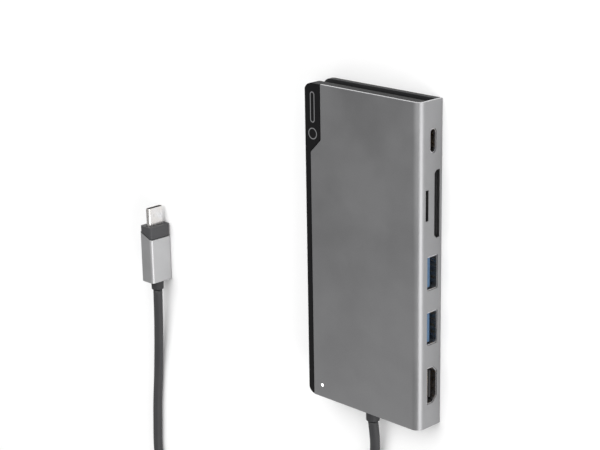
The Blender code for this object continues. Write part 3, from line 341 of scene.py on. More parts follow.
blue_nylon = moulded("blue_nylon", (0.035, 0.095, 0.19), (0.05, 0.13, 0.24), 0.38)
black_nylon = moulded("black_nylon", (0.010, 0.010, 0.011), (0.018, 0.018, 0.019), 0.45)
grey_nylon = moulded("grey_nylon", (0.05, 0.05, 0.052), (0.07, 0.07, 0.072), 0.5)
natural_nylon = moulded("natural_nylon", (0.70, 0.67, 0.60), (0.78, 0.75, 0.69), 0.42)
chip_resin = moulded("chip_resin_finish", (0.016, 0.016, 0.017), (0.026, 0.026, 0.027), 0.55)
print("nylons:", [item.material.name for item in (blue_nylon, black_nylon, grey_nylon, natural_nylon)])

# %% Circuit board
TRACK_GAP, TRACK_LENGTH, TRACK_PITCH = 0.12 * MM, 3.1 * MM, 0.55 * MM
board = Finish("circuit_board_finish", (0.008, 0.075, 0.035), 0.35, Coat_Weight=0.3)
tracks = board.node(
    "TexBrick",
    {"offset": 0.37, "squash": 1.0},
    {
        "Vector": board.place(),
        "Scale": 1.0,
        "Mortar Size": TRACK_GAP,
        "Mortar Smooth": 0.2,
        "Brick Width": TRACK_LENGTH,
        "Row Height": TRACK_PITCH,
    },
    "Fac",
)
weave = board.node("TexChecker", {}, {"Vector": board.place(), "Scale": 2400.0}, "Fac")
lacquer = board.mix(tracks, (0.006, 0.055, 0.026), (0.012, 0.115, 0.05))
board.surface(Base_Color=board.mix(weave * 0.2, lacquer, (0.02, 0.10, 0.05)))
board.surface(Roughness=board.range(board.noise(board.place(), 700.0), 0.3, 0.7, 0.28, 0.42))
board.bump(tracks + weave * 0.15, 0.00002, 0.7)
print("board:", board.material.name)

# %% [markdown]
# ## Cable
#
# The cable is a round lead, 3.9 mm thick, that stays on the dock. It leaves the grommet level with
# the middle of the end wall, comes down onto the desk and turns back beside the dock to its plug.
# A tube swept along the route keeps the same section all the way. Its own UV map runs along and
# round the jacket, so the faint drawing lines of the extruded jacket follow the bends.

# %% Cable's route
CORD_DIAMETER = 3.9 * MM
CORD_ROUTE = [
    (0.0000, -0.0672, 0.0062),
    (-0.0008, -0.0790, 0.0042),
    (-0.0045, -0.0930, 0.0023),
    (-0.0150, -0.1080, 0.0021),
    (-0.0330, -0.1195, 0.0021),
    (-0.0560, -0.1290, 0.0021),
    (-0.0800, -0.1385, 0.0021),
    (-0.1030, -0.1465, 0.0021),
    (-0.1230, -0.1450, 0.0021),
    (-0.1335, -0.1290, 0.0021),
    (-0.1338, -0.1060, 0.0021),
    (-0.1315, -0.0840, 0.0023),
    (-0.1277, -0.0620, 0.0042),
    (-0.1255, -0.0438, 0.0056),
]


def smooth_route(points, per_span):
    """Points along a smooth curve through the route, with even steps in each span."""
    route = [Vector(point) for point in points]
    smooth = [route[0]]
    for index in range(len(route) - 1):
        start, end = route[index], route[index + 1]
        before = route[max(index - 1, 0)]
        after = route[min(index + 2, len(route) - 1)]
        leave = start + (end - before) / 6
        reach = end - (after - start) / 6
        smooth += interpolate_bezier(start, leave, reach, end, per_span + 1)[1:]
    return smooth


STEPS_PER_SPAN = 8
cord_line = smooth_route(CORD_ROUTE, STEPS_PER_SPAN)


# %% Adding a piece
def new_piece(name, mesh, finish=None):
    """Adds a mesh as a piece of the dock. Without a finish the mesh keeps the materials it has."""
    obj = add_object(name, mesh)
    if finish:
        mesh.materials.clear()
        mesh.materials.append(finish.material)
    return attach(obj, "dock")


# %% Tube along a line
def mesh_from(shape, name):
    """A mesh from a worked shape, with its faces pointing outwards."""
    bmesh.ops.recalc_face_normals(shape, faces=shape.faces)
    mesh = bpy.data.meshes.new(name)
    shape.to_mesh(mesh)
    shape.free()
    return mesh


def tube_mesh(name, line, radius, sides):
    """A closed round tube along a line of points, with UVs in metres along and turns round."""
    tube = bmesh.new()
    uv = tube.loops.layers.uv.new("jacket")
    rings, travelled, along = [], 0.0, []
    side = Vector((0, 0, 1))
    for index, point in enumerate(line):
        ahead = (line[min(index + 1, len(line) - 1)] - line[max(index - 1, 0)]).normalized()
        side = (side - ahead * side.dot(ahead)).normalized()
        across = ahead.cross(side)
        if index:
            travelled += (point - line[index - 1]).length
        along.append(travelled)
        angles = [2 * math.pi * step / sides for step in range(sides)]
        ring = [point + radius * (side * math.cos(a) + across * math.sin(a)) for a in angles]
        rings.append([tube.verts.new(place) for place in ring])
    for index in range(len(rings) - 1):
        for step in range(sides):
            near, far = rings[index], rings[index + 1]
            corners = [near[step], near[(step + 1) % sides], far[(step + 1) % sides], far[step]]
            face = tube.faces.new(corners)
            face.smooth = True
            places = [(index, step), (index, step + 1), (index + 1, step + 1), (index + 1, step)]
            for loop, (ring, turn) in zip(face.loops, places):
                loop[uv].uv = (along[ring], turn / sides)
    tube.faces.new(list(reversed(rings[0])))
    tube.faces.new(rings[-1])
    return mesh_from(tube, name)


# %% Rubber and the cable
def rubber_skin(name, dark, light, roughness):
    finish = Finish(name, dark, roughness, Specular_IOR_Level=0.4)
    where = finish.place()
    fine = finish.noise(where, 3500.0, 3.0)
    slow = finish.noise(where, 120.0, 2.0)
    finish.surface(Base_Color=finish.mix(slow, dark, light))
    finish.surface(Roughness=finish.range(fine, 0.3, 0.7, roughness - 0.06, roughness + 0.08))
    return finish, fine


rubber_tones = ((0.022, 0.022, 0.024), (0.034, 0.034, 0.036))
rubber, rubber_grain = rubber_skin("moulded_rubber", *rubber_tones, 0.55)
rubber.bump(rubber_grain, 0.00001, 0.6)
jacket_tones = ((0.030, 0.030, 0.032), (0.042, 0.042, 0.044))
jacket, jacket_grain = rubber_skin("cable_jacket", *jacket_tones, 0.5)
jacket_uv = jacket.node("UVMap", {"uv_map": "jacket"}, {})
drawn = jacket.node("Mapping", {}, {"Vector": jacket_uv, "Scale": (40.0, 60.0, 1.0)})
drawing_lines = jacket.noise(drawn, 1.0, 3.0)
jacket.bump(drawing_lines * 0.6 + jacket_grain * 0.4, 0.000015, 0.6)

CORD_SIDES = 32
cord_mesh = tube_mesh("captive_cable", cord_line, CORD_DIAMETER / 2, CORD_SIDES)
cord = new_piece("captive_cable", cord_mesh, jacket)
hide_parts("cord")
print("cable tube:", len(cord.data.polygons), "faces")

# %% [markdown]
# ## Solid shapes from outlines
#
# Most of the dock is sheet and moulding with a constant section, so a solid is drawn as an outline
# and pushed along an axis. A filled 2D curve does that and takes holes as well. It is filled a
# thousand times larger, because the fill joins points that lie closer than 0.03 mm. The curves here
# use steps of 6 degrees, fine enough for a round edge to look round.

# %% Outlines
ARC_STEP = 6.0
TURNS = {
    "X": Matrix(((0, 0, 1), (1, 0, 0), (0, 1, 0))),
    "Y": Matrix(((1, 0, 0), (0, 0, -1), (0, 1, 0))),
    "Z": Matrix.Identity(3),
}
AXES = {"X": Vector((1, 0, 0)), "Y": Vector((0, 1, 0)), "Z": Vector((0, 0, 1))}


def arc(centre, radius, start, end):
    """Points along an arc from one angle in degrees to another, both ends included."""
    count = max(2, math.ceil(abs(end - start) / ARC_STEP))
    angles = [math.radians(start + (end - start) * step / count) for step in range(count + 1)]
    return [(centre[0] + radius * math.cos(a), centre[1] + radius * math.sin(a)) for a in angles]


def rounded(middle, size, radius):
    """A rectangle about a middle point, with one radius at all its corners."""
    across, along = size[0] / 2 - radius, size[1] / 2 - radius
    outline = []
    for turn, (sx, sy) in enumerate(((-1, -1), (1, -1), (1, 1), (-1, 1))):
        corner = (middle[0] + sx * across, middle[1] + sy * along)
        outline += arc(corner, radius, 180 + 90 * turn, 270 + 90 * turn)
    return outline


def round_ended(middle, size):
    """A rectangle whose short sides are full half circles."""
    return rounded(middle, size, min(size) / 2 - 0.001 * MM)


print("points in a circle:", len(arc((0, 0), 1.0, 0, 360)) - 1)


# %% Solid from outlines
FILL_SCALE = 1000.0


def evaluated_mesh(obj):
    """A plain mesh of an object with its modifiers applied."""
    graph = bpy.context.evaluated_depsgraph_get()
    return bpy.data.meshes.new_from_object(obj.evaluated_get(graph))


def solid_mesh(name, outlines, low, high, along):
    """The first outline, less those inside it, from low to high along an axis."""
    curve = bpy.data.curves.new(name, "CURVE")
    curve.dimensions = "2D"
    curve.fill_mode = "BOTH"
    curve.extrude = (high - low) / 2 * FILL_SCALE
    for outline in outlines:
        spline = curve.splines.new("POLY")
        spline.points.add(len(outline) - 1)
        spline.use_cyclic_u = True
        for point, (u, v) in zip(spline.points, outline):
            point.co = (u * FILL_SCALE, v * FILL_SCALE, 0, 1)
    holder = add_object(name, curve)
    solid = bmesh.new()
    solid.from_mesh(evaluated_mesh(holder))
    bpy.data.objects.remove(holder)
    bmesh.ops.remove_doubles(solid, verts=solid.verts, dist=0.001)
    bmesh.ops.scale(solid, vec=(1 / FILL_SCALE,) * 3, verts=solid.verts)
    bmesh.ops.rotate(solid, matrix=TURNS[along], verts=solid.verts)
    bmesh.ops.translate(solid, vec=AXES[along] * (low + high) / 2, verts=solid.verts)
    return mesh_from(solid, name)


# %% Carving
SHARP_ANGLE = math.radians(35)


def carve(mesh, tools, edge, edge_finish=None):
    """The mesh less its tools, with its sharp edges broken by a small bevel."""
    body = add_object(mesh.name + "_blank", mesh)
    helpers = []
    for number, tool in enumerate(tools):
        helpers.append(add_object(f"{mesh.name}_tool_{number}", tool))
        modifier = body.modifiers.new(helpers[-1].name, "BOOLEAN")
        modifier.object = helpers[-1]
        modifier.operation = "DIFFERENCE"
    modifier = body.modifiers.new("edges", "BEVEL")
    modifier.width = edge
    modifier.segments = 2
    modifier.limit_method = "ANGLE"
    modifier.angle_limit = SHARP_ANGLE
    modifier.material = 1 if edge_finish else -1
    if edge_finish:
        mesh.materials.append(None)
        mesh.materials.append(edge_finish.material)
    cut_mesh = evaluated_mesh(body)
    cut_mesh.shade_smooth()
    body.modifiers.clear()
    body.data = cut_mesh
    flat = body.modifiers.new("flat faces stay flat", "WEIGHTED_NORMAL")
    flat.weight = 100
    flat.keep_sharp = True
    result = evaluated_mesh(body)
    result.name = mesh.name + "_cut"
    for obj in (body, *helpers):
        bpy.data.objects.remove(obj)
    return result


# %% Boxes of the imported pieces
def corners_of(name):
    """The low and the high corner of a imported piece's box."""
    return tuple(Vector(corner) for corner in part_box(name))


def centre_of(name):
    low, high = corners_of(name)
    return (low + high) / 2


# %% [markdown]
# ## Aluminium shell
#
# One sheet, 1 mm thick, is bent along the dock's long edge and cut for the ports. The section is
# drawn once and pushed along the dock, then the seam beside the black strip, the mouths and the
# status light's hole are cut out of it. The cutting leaves a fine chamfer on each edge, which a
# Bevel modifier makes, with the bright edge finish on just those faces.

# %% Shell's section
shell_high = corners_of("top_shell")[1]
HALF_WIDTH = shell_high.x
HALF_LENGTH = shell_high.y
HEIGHT = shell_high.z
WALL = 1.0 * MM
BEND = 3.2 * MM
FOOT = 0.5 * MM
bend_middle = (HALF_WIDTH - BEND, HEIGHT - BEND)
section = [(-HALF_WIDTH, HEIGHT - WALL), (bend_middle[0], HEIGHT - WALL)]
section += arc(bend_middle, BEND - WALL, 90, 0)[1:]
section += [(HALF_WIDTH - WALL, 0)]
section += arc((HALF_WIDTH - FOOT, FOOT), FOOT, 270, 360)
section += arc(bend_middle, BEND, 0, 90)
section += [(-HALF_WIDTH, HEIGHT)]
print("shell section:", len(section), "points")

# %% Seam and mouths
STRIP = 3.1 * MM
INLAY = 8.3 * MM
INLAY_LENGTH = 20.9 * MM
STRIP_FILLET = 0.8 * MM
INLAY_FILLET = 1.1 * MM
FILLET_STEPS = 6
CLEAR = 0.12 * MM
BEYOND = 1.0 * MM


def fillet(before, corner, after, radius):
    """The arc that rounds a corner between two straight runs."""
    start = (Vector(before) - Vector(corner)).normalized()
    end = (Vector(after) - Vector(corner)).normalized()
    half = start.angle(end) / 2
    reach = radius / math.tan(half)
    centre = Vector(corner) + (start + end).normalized() * radius / math.sin(half)
    first = Vector(corner) + start * reach - centre
    last = Vector(corner) + end * reach - centre
    shares = [step / FILLET_STEPS for step in range(FILLET_STEPS + 1)]
    turns = [first.slerp(last, share).normalized() for share in shares]
    return [tuple(centre + turn * radius) for turn in turns]


def seam_tool():
    """What lies on the black side of the seam, above the plate's underside."""
    strip, inlay = STRIP - HALF_WIDTH, INLAY - HALF_WIDTH
    start = HALF_LENGTH - INLAY_LENGTH
    points = [
        (strip, -HALF_LENGTH - BEYOND),
        (strip, start - (INLAY - STRIP)),
        (inlay, start),
        (inlay, HALF_LENGTH + BEYOND),
    ]
    outline = [points[0], *fillet(*points[:3], STRIP_FILLET), *fillet(*points[1:], INLAY_FILLET)]
    outside = -HALF_WIDTH - BEYOND
    outline += [points[3], (outside, points[3][1]), (outside, points[0][1])]
    return solid_mesh("seam", [outline], HEIGHT - 2 * WALL, HEIGHT + BEYOND, "Z")


def mouth_tool(name, outline):
    """A hole of this outline, (y, z), through the port wall."""
    return solid_mesh(name, [outline], HALF_WIDTH - WALL - BEYOND, HALF_WIDTH + BEYOND, "X")


def mouth_of(name):
    """The middle, as (y, z), and the size of the mouth in front of a port's shell."""
    low, high = corners_of(name)
    middle = (low + high) / 2
    size = (high.y - low.y + 2 * CLEAR, high.z - low.z + 2 * CLEAR)
    return (middle.y, middle.z), size


USB_A_CORNER = 0.52 * MM
tools = [seam_tool()]
for number in (1, 2):
    mouth = mouth_of(f"usb_a_{number}_shell")
    tools.append(mouth_tool(f"usb_a_{number}", rounded(*mouth, USB_A_CORNER)))
tools.append(mouth_tool("usb_c", round_ended(*mouth_of("usb_c_shell"))))
print("port mouths so far:", len(tools) - 1)

# %% [markdown]
# The HDMI mouth has two corners cut off towards the base, and the card slot's side towards the plate
# is shorter by a step at each end. Their outlines are mirrored about their middles.

# %% Shaped mouths
def mirrored(middle_y, half_outline):
    """An outline from its +Y half, from the base side up."""
    right_half = [(middle_y + y, z) for y, z in half_outline]
    left_half = [(middle_y - y, z) for y, z in reversed(half_outline)]
    return right_half + left_half


HDMI_NARROW = 9.7 * MM / 2
HDMI_SIDE = 3.1 * MM


def hdmi_outline(grow):
    """The HDMI shell's outline, larger all round; its slanted sides move out by the same distance."""
    low, high = corners_of("hdmi_shell")
    wide = (high.y - low.y) / 2 + grow
    shoulder = high.z - HDMI_SIDE - grow * 0.4
    half = [(HDMI_NARROW + grow * 0.6, low.z - grow), (wide, shoulder), (wide, high.z + grow)]
    return mirrored((low.y + high.y) / 2, half)


tray_low, tray_high = corners_of("sd_tray")
sd_middle = (tray_low.y + tray_high.y) / 2
SD_HALF = 25.1 * MM / 2
SD_LOW, SD_HIGH, SD_STEP = 1.45 * MM, 4.3 * MM, 1.1 * MM
sd_half = [(SD_HALF, SD_LOW), (SD_HALF, SD_HIGH - SD_STEP), (SD_HALF - SD_STEP, SD_HIGH)]
micro_low = corners_of("micro_sd_tray")[0]
MICRO_MOUTH = (11.4 * MM, 1.5 * MM)
MICRO_CORNER = 0.15 * MM
MICRO_ASIDE = 0.25 * MM
MICRO_MIDDLE = (sd_middle + MICRO_ASIDE, micro_low.z - CLEAR + MICRO_MOUTH[1] / 2)
tools.append(mouth_tool("hdmi", hdmi_outline(CLEAR)))
tools.append(mouth_tool("sd", mirrored(sd_middle, sd_half)))
tools.append(mouth_tool("micro_sd", rounded(MICRO_MIDDLE, MICRO_MOUTH, MICRO_CORNER)))
pipe_middle = centre_of("light_pipe")
LIGHT_RADIUS = 0.65 * MM
hole = arc((pipe_middle.x, pipe_middle.y), LIGHT_RADIUS + CLEAR, 0, 360)[:-1]
tools.append(solid_mesh("light_hole", [hole], HEIGHT - 2 * WALL, HEIGHT + BEYOND, "Z"))
print("cuts in the shell:", len(tools))

# %% Shell
SHELL_CHAMFER = 0.14 * MM
END_REACH = 0.05 * MM
shell_mesh = solid_mesh("aluminium_shell", [section], -HALF_LENGTH, HALF_LENGTH, "Y")
shell_mesh = carve(shell_mesh, tools, SHELL_CHAMFER, cut_edge)
shell_mesh.materials[0] = aluminium.material
for face in shell_mesh.polygons:
    if abs(face.normal.y) > 0.9 and abs(face.center.y) > HALF_LENGTH - END_REACH:
        face.material_index = 1
shell = new_piece("aluminium_shell", shell_mesh)
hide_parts("top_shell")
print("shell:", len(shell_mesh.polygons), "faces")

# %% [markdown]
# ## Contacts
#
# Each tongue carries a row of flat gold contacts at an even pitch, so a Geometry Nodes tree makes a
# row from a count, a pitch and the size of one contact. The tree ends in Realize Instances and Set
# Material, and the result is turned into a plain mesh. The blade's nose is rounded by a bevel in the
# shape that is repeated.

# %% Parts of a tree
def new_tree(name, inputs, output):
    """An empty tree with named inputs, a material among them, and one shape as its output."""
    tree = bpy.data.node_groups.new(name, "GeometryNodeTree")
    for label, kind in (inputs | {"Material": "Material"}).items():
        tree.interface.new_socket(label, in_out="INPUT", socket_type="NodeSocket" + kind)
    tree.interface.new_socket(output, in_out="OUTPUT", socket_type="NodeSocketGeometry")
    return tree


def add_nodes(tree, *kinds):
    """The tree's input node, and then one node of each kind."""
    given = tree.nodes.new("NodeGroupInput")
    return given, *(tree.nodes.new("GeometryNode" + kind) for kind in kinds)


def finish_tree(tree, given, place, links):
    """Makes the instances real, gives them the material and adds a tree's links."""
    real = tree.nodes.new("GeometryNodeRealizeInstances")
    paint = tree.nodes.new("GeometryNodeSetMaterial")
    result = tree.nodes.new("NodeGroupOutput")
    links += [
        (place.outputs["Instances"], real.inputs["Geometry"]),
        (real.outputs["Geometry"], paint.inputs["Geometry"]),
        (given.outputs["Material"], paint.inputs["Material"]),
        (paint.outputs["Geometry"], result.inputs[0]),
    ]
    for start, end in links:
        tree.links.new(start, end)
    print(tree.name, "has", len(tree.nodes), "nodes and", len(links), "links")
    return tree


# %% Row of contacts
def row_tree():
    inputs = {"Contact": "Object", "Count": "Int", "Start": "Vector", "Pitch": "Vector"}
    tree = new_tree("contact_row", inputs, "Row")
    given, line, shape, place = add_nodes(tree, "MeshLine", "ObjectInfo", "InstanceOnPoints")
    links = [
        (given.outputs["Contact"], shape.inputs["Object"]),
        (given.outputs["Count"], line.inputs["Count"]),
        (given.outputs["Start"], line.inputs["Start Location"]),
        (given.outputs["Pitch"], line.inputs["Offset"]),
        (line.outputs["Mesh"], place.inputs["Points"]),
        (shape.outputs["Geometry"], place.inputs["Instance"]),
    ]
    return finish_tree(tree, given, place, links)


CONTACT_ROW = row_tree()


# %% From a tree to a piece
def repeated(tree, name, values):
    """The plain mesh that a tree makes from these inputs."""
    holder = add_object(name, bpy.data.meshes.new(name))
    modifier = holder.modifiers.new("tree", "NODES")
    modifier.node_group = tree
    for item in tree.interface.items_tree:
        if item.in_out == "INPUT":
            modifier[item.identifier] = values[item.name]
    mesh = evaluated_mesh(holder)
    bpy.data.objects.remove(holder)
    mesh.name = name
    return mesh


def row_piece(name, contact, start, count, pitch, finish):
    """A row along Y of one contact's copies, the first one at start. The pattern contact is removed."""
    values = {"Contact": contact, "Count": count, "Start": start}
    values |= {"Pitch": (0.0, pitch, 0.0), "Material": finish.material}
    mesh = repeated(CONTACT_ROW, name, values)
    bpy.data.objects.remove(contact)
    print(name, "holds", count, "with", len(mesh.polygons), "faces")
    return new_piece(name, mesh)


# %% Contacts of the ports
BLADE = 0.1 * MM
BLADE_EDGE = 0.3
USB_A_SHEET, USB_A_LIFT, USB_A_TONGUE = 0.25 * MM, 0.7 * MM, 1.8 * MM
USB_A_NEAR = {"size": (5.5 * MM, 1.0 * MM, BLADE), "count": 4, "pitch": 2.5 * MM, "inset": 1.0 * MM}
USB_A_FAST = {"size": (1.4 * MM, 0.6 * MM, BLADE), "count": 5, "pitch": 2.0 * MM, "inset": 0.15 * MM}
HDMI_TONGUE_MIDDLE = 2.4 * MM
HDMI_HALF = 0.5 * MM
HDMI_ROW = {"size": (4.5 * MM, 0.45 * MM, BLADE), "pitch": 1.0 * MM, "inset": 0.5 * MM}
USB_C_HALF = 0.35 * MM
USB_C_ROW = {"size": (3.2 * MM, 0.25 * MM, BLADE), "count": 12, "pitch": 0.5 * MM, "inset": 0.4 * MM}


def blade_object(name, size):
    """A small block about the origin with rounded edges."""
    block = bmesh.new()
    bmesh.ops.create_cube(block, size=1.0)
    bmesh.ops.scale(block, vec=size, verts=block.verts)
    edge = min(size) * BLADE_EDGE
    bmesh.ops.bevel(block, geom=block.edges, offset=edge, segments=2, affect="EDGES", profile=0.5)
    return add_object(name, mesh_from(block, name))


def tongue_row(name, node, surface, size, count, pitch, inset):
    """A row centred on a tongue's side at the height surface, inset from the tongue's front."""
    low, high = corners_of(node)
    first = (low.y + high.y) / 2 - pitch * (count - 1) / 2
    start = (high.x - inset - size[0] / 2, first, surface)
    row_piece(name, blade_object(name + "_blade", size), start, count, pitch, gold)


for number in (1, 2):
    tongue = f"usb_a_{number}_tongue"
    under = corners_of(f"usb_a_{number}_shell")[1].z - (USB_A_SHEET + USB_A_LIFT + USB_A_TONGUE)
    tongue_row(f"usb_a_{number}_near_contacts", tongue, under, **USB_A_NEAR)
    tongue_row(f"usb_a_{number}_fast_contacts", tongue, under, **USB_A_FAST)
hdmi_middle = corners_of("hdmi_shell")[0].z + HDMI_TONGUE_MIDDLE
for side, count, height in (("plate", 10, HDMI_HALF), ("base", 9, -HDMI_HALF)):
    tongue_row(f"hdmi_{side}_contacts", "hdmi_tongue", hdmi_middle + height, count=count, **HDMI_ROW)
usb_c_middle = centre_of("usb_c_shell").z
for side, height in (("plate", USB_C_HALF), ("base", -USB_C_HALF)):
    tongue_row(f"usb_c_{side}_contacts", "usb_c_tongue", usb_c_middle + height, **USB_C_ROW)

# %% [markdown]
# A card socket's contacts are springs: each is a narrow strip that starts at the tray's back wall and
# rises towards the lid before it dips at its end. One strip is drawn from a line of points, and the
# same tree repeats it.

# %% Card contacts
def strip_object(name, points, width, thickness):
    """A thin strip along a line of (x, z) points, as wide as it is told along Y."""
    strip = bmesh.new()
    rows = []
    for x, z in points:
        corners = ((-1, 0), (1, 0), (1, 1), (-1, 1))
        places = [(x, side * width / 2, z + level * thickness) for side, level in corners]
        rows.append([strip.verts.new(place) for place in places])
    for near, far in zip(rows, rows[1:]):
        for turn in range(4):
            strip.faces.new((near[turn], near[(turn + 1) % 4], far[(turn + 1) % 4], far[turn]))
    strip.faces.new(reversed(rows[0]))
    strip.faces.new(rows[-1])
    return add_object(name, mesh_from(strip, name))


def spring_row(name, place, shape, width, thickness, count, pitch, finish):
    """A row of strips centred along Y on place."""
    strip = strip_object(name + "_strip", shape, width, thickness)
    start = (place[0], place[1] - pitch * (count - 1) / 2, place[2])
    row_piece(name, strip, start, count, pitch, finish)


SD_BACK, SD_LIFT = 0.85 * MM, 0.03 * MM
SD_SHAPE = [(0, 0), (2.0 * MM, 0.25 * MM), (5.0 * MM, 1.5 * MM), (6.2 * MM, 1.7 * MM)]
SD_SHAPE += [(7.0 * MM, 1.4 * MM)]
SD_SPRINGS = {"width": 1.0 * MM, "thickness": 0.12 * MM, "count": 9, "pitch": 2.5 * MM}
MICRO_BACK, MICRO_LIFT = 0.75 * MM, 0.28 * MM
MICRO_SHAPE = [(0, 0), (1.5 * MM, 0.08 * MM), (3.2 * MM, 0.5 * MM), (4.0 * MM, 0.35 * MM)]
MICRO_SPRINGS = {"width": 0.7 * MM, "thickness": 0.08 * MM, "count": 8, "pitch": 1.1 * MM}
sd_place = (tray_low.x + SD_BACK, sd_middle, SD_LOW + SD_LIFT)
spring_row("sd_contacts", sd_place, SD_SHAPE, finish=gold, **SD_SPRINGS)
micro_place = (micro_low.x + MICRO_BACK, MICRO_MIDDLE[0], micro_low.z + MICRO_LIFT)
spring_row("micro_sd_contacts", micro_place, MICRO_SHAPE, finish=gold, **MICRO_SPRINGS)

# %% [markdown]
# ## Spring fingers of the USB-A and HDMI shells
#
# The windows in a port's shell hold spring fingers, which press on the plug. Each is a strip cut from
# the same sheet, bent in towards the mouth's middle and out again at its tip.

# %% Spring fingers
FINGER_SHEET, FINGER_GAP = 0.16 * MM, 0.04 * MM
USB_A_FINGERS = (5.2 * MM, 6.0 * MM, 3.4 * MM, 1.5 * MM, 0.5 * MM)
HDMI_FINGERS = (4.6 * MM, 6.4 * MM, 3.0 * MM, 1.3 * MM, 0.45 * MM)


def fingers(name, back, apart, length, width, dip):
    """Two fingers in a port shell's side towards the plate and two in the side towards the base."""
    low, high = corners_of(name + "_shell")
    x, y = high.x - back - length / 2, (low.y + high.y) / 2
    shape = [(0, 0), (length * 0.25, dip * 0.2), (length * 0.72, dip), (length, dip * 0.45)]
    mirror = [(along, -down) for along, down in shape]
    top = high.z - FINGER_GAP - FINGER_SHEET
    for side, z, points in (("base", low.z + FINGER_GAP, shape), ("plate", top, mirror)):
        spring_row(f"{name}_{side}_fingers", (x, y, z), points, width, FINGER_SHEET, 2, apart, steel)


for number in (1, 2):
    fingers(f"usb_a_{number}", *USB_A_FINGERS)
fingers("hdmi", *HDMI_FINGERS)

# %% [markdown]
# ## Screws of the bottom cover
#
# Four countersunk screws hold the cover. One screw is a turned profile with a cross recess cut into
# its head, and a tree places it at the four corners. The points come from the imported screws' boxes.

# %% One screw
def turned_mesh(name, profile, steps):
    """A closed solid turned about Z from (radius, height) points, from the top down."""
    turned = bmesh.new()
    rings = []
    for radius, height in profile:
        if radius == 0:
            rings.append([turned.verts.new((0, 0, height))] * steps)
            continue
        angles = [2 * math.pi * step / steps for step in range(steps)]
        ring = [turned.verts.new((radius * math.cos(a), radius * math.sin(a), height)) for a in angles]
        rings.append(ring)
    for upper, lower in zip(rings, rings[1:]):
        for step in range(steps):
            ahead = (step + 1) % steps
            corners = [upper[step], upper[ahead], lower[ahead], lower[step]]
            turned.faces.new(list(dict.fromkeys(corners)))
    return mesh_from(turned, name)


HEAD_LOW, SCREW_TOP = 0.15 * MM, 7.15 * MM
SHANK, HEAD = 0.9 * MM, 1.8 * MM
SCREW_STEPS, SCREW_EDGE = 32, 0.04 * MM
RECESS_WIDTH, RECESS_LENGTH = 0.34 * MM, 1.9 * MM
RECESS_CORNER, RECESS_DEPTH = 0.12 * MM, 0.75 * MM
screw_profile = [
    (0, SCREW_TOP),
    (SHANK * 0.6, SCREW_TOP),
    (SHANK, SCREW_TOP - 0.5 * MM),
    (SHANK, HEAD_LOW + 1.1 * MM),
    (HEAD - 0.08 * MM, HEAD_LOW + 0.22 * MM),
    (HEAD, HEAD_LOW + 0.14 * MM),
    (HEAD - 0.03 * MM, HEAD_LOW + 0.04 * MM),
    (HEAD - 0.12 * MM, HEAD_LOW),
    (0, HEAD_LOW),
]
recess = []
for size in ((RECESS_WIDTH, RECESS_LENGTH), (RECESS_LENGTH, RECESS_WIDTH)):
    slot_outline = rounded((0, 0), size, RECESS_CORNER)
    recess.append(solid_mesh("recess", [slot_outline], -BEYOND, HEAD_LOW + RECESS_DEPTH, "Z"))
screw_blank = turned_mesh("cover_screw", screw_profile, SCREW_STEPS)
screw_mesh = carve(screw_blank, recess, SCREW_EDGE)
print("one screw:", len(screw_mesh.polygons), "faces")


# %% Placing the screws
def points_tree():
    """A tree that puts a shape on each point of the mesh it is given, each turned by a further angle."""
    inputs = {"Points": "Object", "Screw": "Object", "Turn": "Float"}
    tree = new_tree("screw_set", inputs, "Screws")
    kinds = ("ObjectInfo", "ObjectInfo", "InstanceOnPoints", "InputIndex")
    given, points, shape, place, index = add_nodes(tree, *kinds)
    angle = tree.nodes.new("ShaderNodeMath")
    angle.operation = "MULTIPLY"
    spin = tree.nodes.new("ShaderNodeCombineXYZ")
    links = [
        (given.outputs["Points"], points.inputs["Object"]),
        (given.outputs["Screw"], shape.inputs["Object"]),
        (points.outputs["Geometry"], place.inputs["Points"]),
        (shape.outputs["Geometry"], place.inputs["Instance"]),
        (index.outputs[0], angle.inputs[0]),
        (given.outputs["Turn"], angle.inputs[1]),
        (angle.outputs[0], spin.inputs["Z"]),
        (spin.outputs[0], place.inputs["Rotation"]),
    ]
    return finish_tree(tree, given, place, links)


SCREW_TURN = 0.7
SCREW_NODES = [f"case_screw_{number}" for number in (1, 2, 3, 4)]
middles = [centre_of(name) for name in SCREW_NODES]
places = bpy.data.meshes.new("screw_places")
places.from_pydata([(middle.x, middle.y, 0.0) for middle in middles], [], [])
helpers = [add_object("screw_places", places), add_object("one_screw", screw_mesh)]
values = {"Points": helpers[0], "Screw": helpers[1], "Turn": SCREW_TURN, "Material": steel.material}
screws_mesh = repeated(points_tree(), "cover_screws", values)
for helper in helpers:
    bpy.data.objects.remove(helper)
screws = new_piece("cover_screws", screws_mesh)
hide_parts(*SCREW_NODES)
print("screws:", len(screws_mesh.polygons), "faces")

# %% [markdown]
# ## Plug
#
# The plug lies on its narrow side: an aluminium sleeve, a dark nose whose seam slants, and a steel
# tip. The sleeve and the tip are drawn again with finer curves. The sleeve gets a bright chamfer, and
# the tip gets the small dimples that hold it in a laptop.

# %% Plug's place
sleeve_low, sleeve_high = corners_of("plug_sleeve")
plug_middle = ((sleeve_low.x + sleeve_high.x) / 2, (sleeve_low.z + sleeve_high.z) / 2)
plug_size = (sleeve_high.x - sleeve_low.x, sleeve_high.z - sleeve_low.z)
PLUG_CORNER = 1.3 * MM
SLEEVE_WALL = 0.8 * MM
SLEEVE_CHAMFER = 0.12 * MM
SLANT = 3.0 * MM
THROAT_RADIUS = CORD_DIAMETER / 2 + 0.02 * MM
print("plug in mm:", [round(x / MM, 1) for x in plug_size])


def plug_outline(grow):
    size = (plug_size[0] + 2 * grow, plug_size[1] + 2 * grow)
    return rounded(plug_middle, size, PLUG_CORNER + grow)


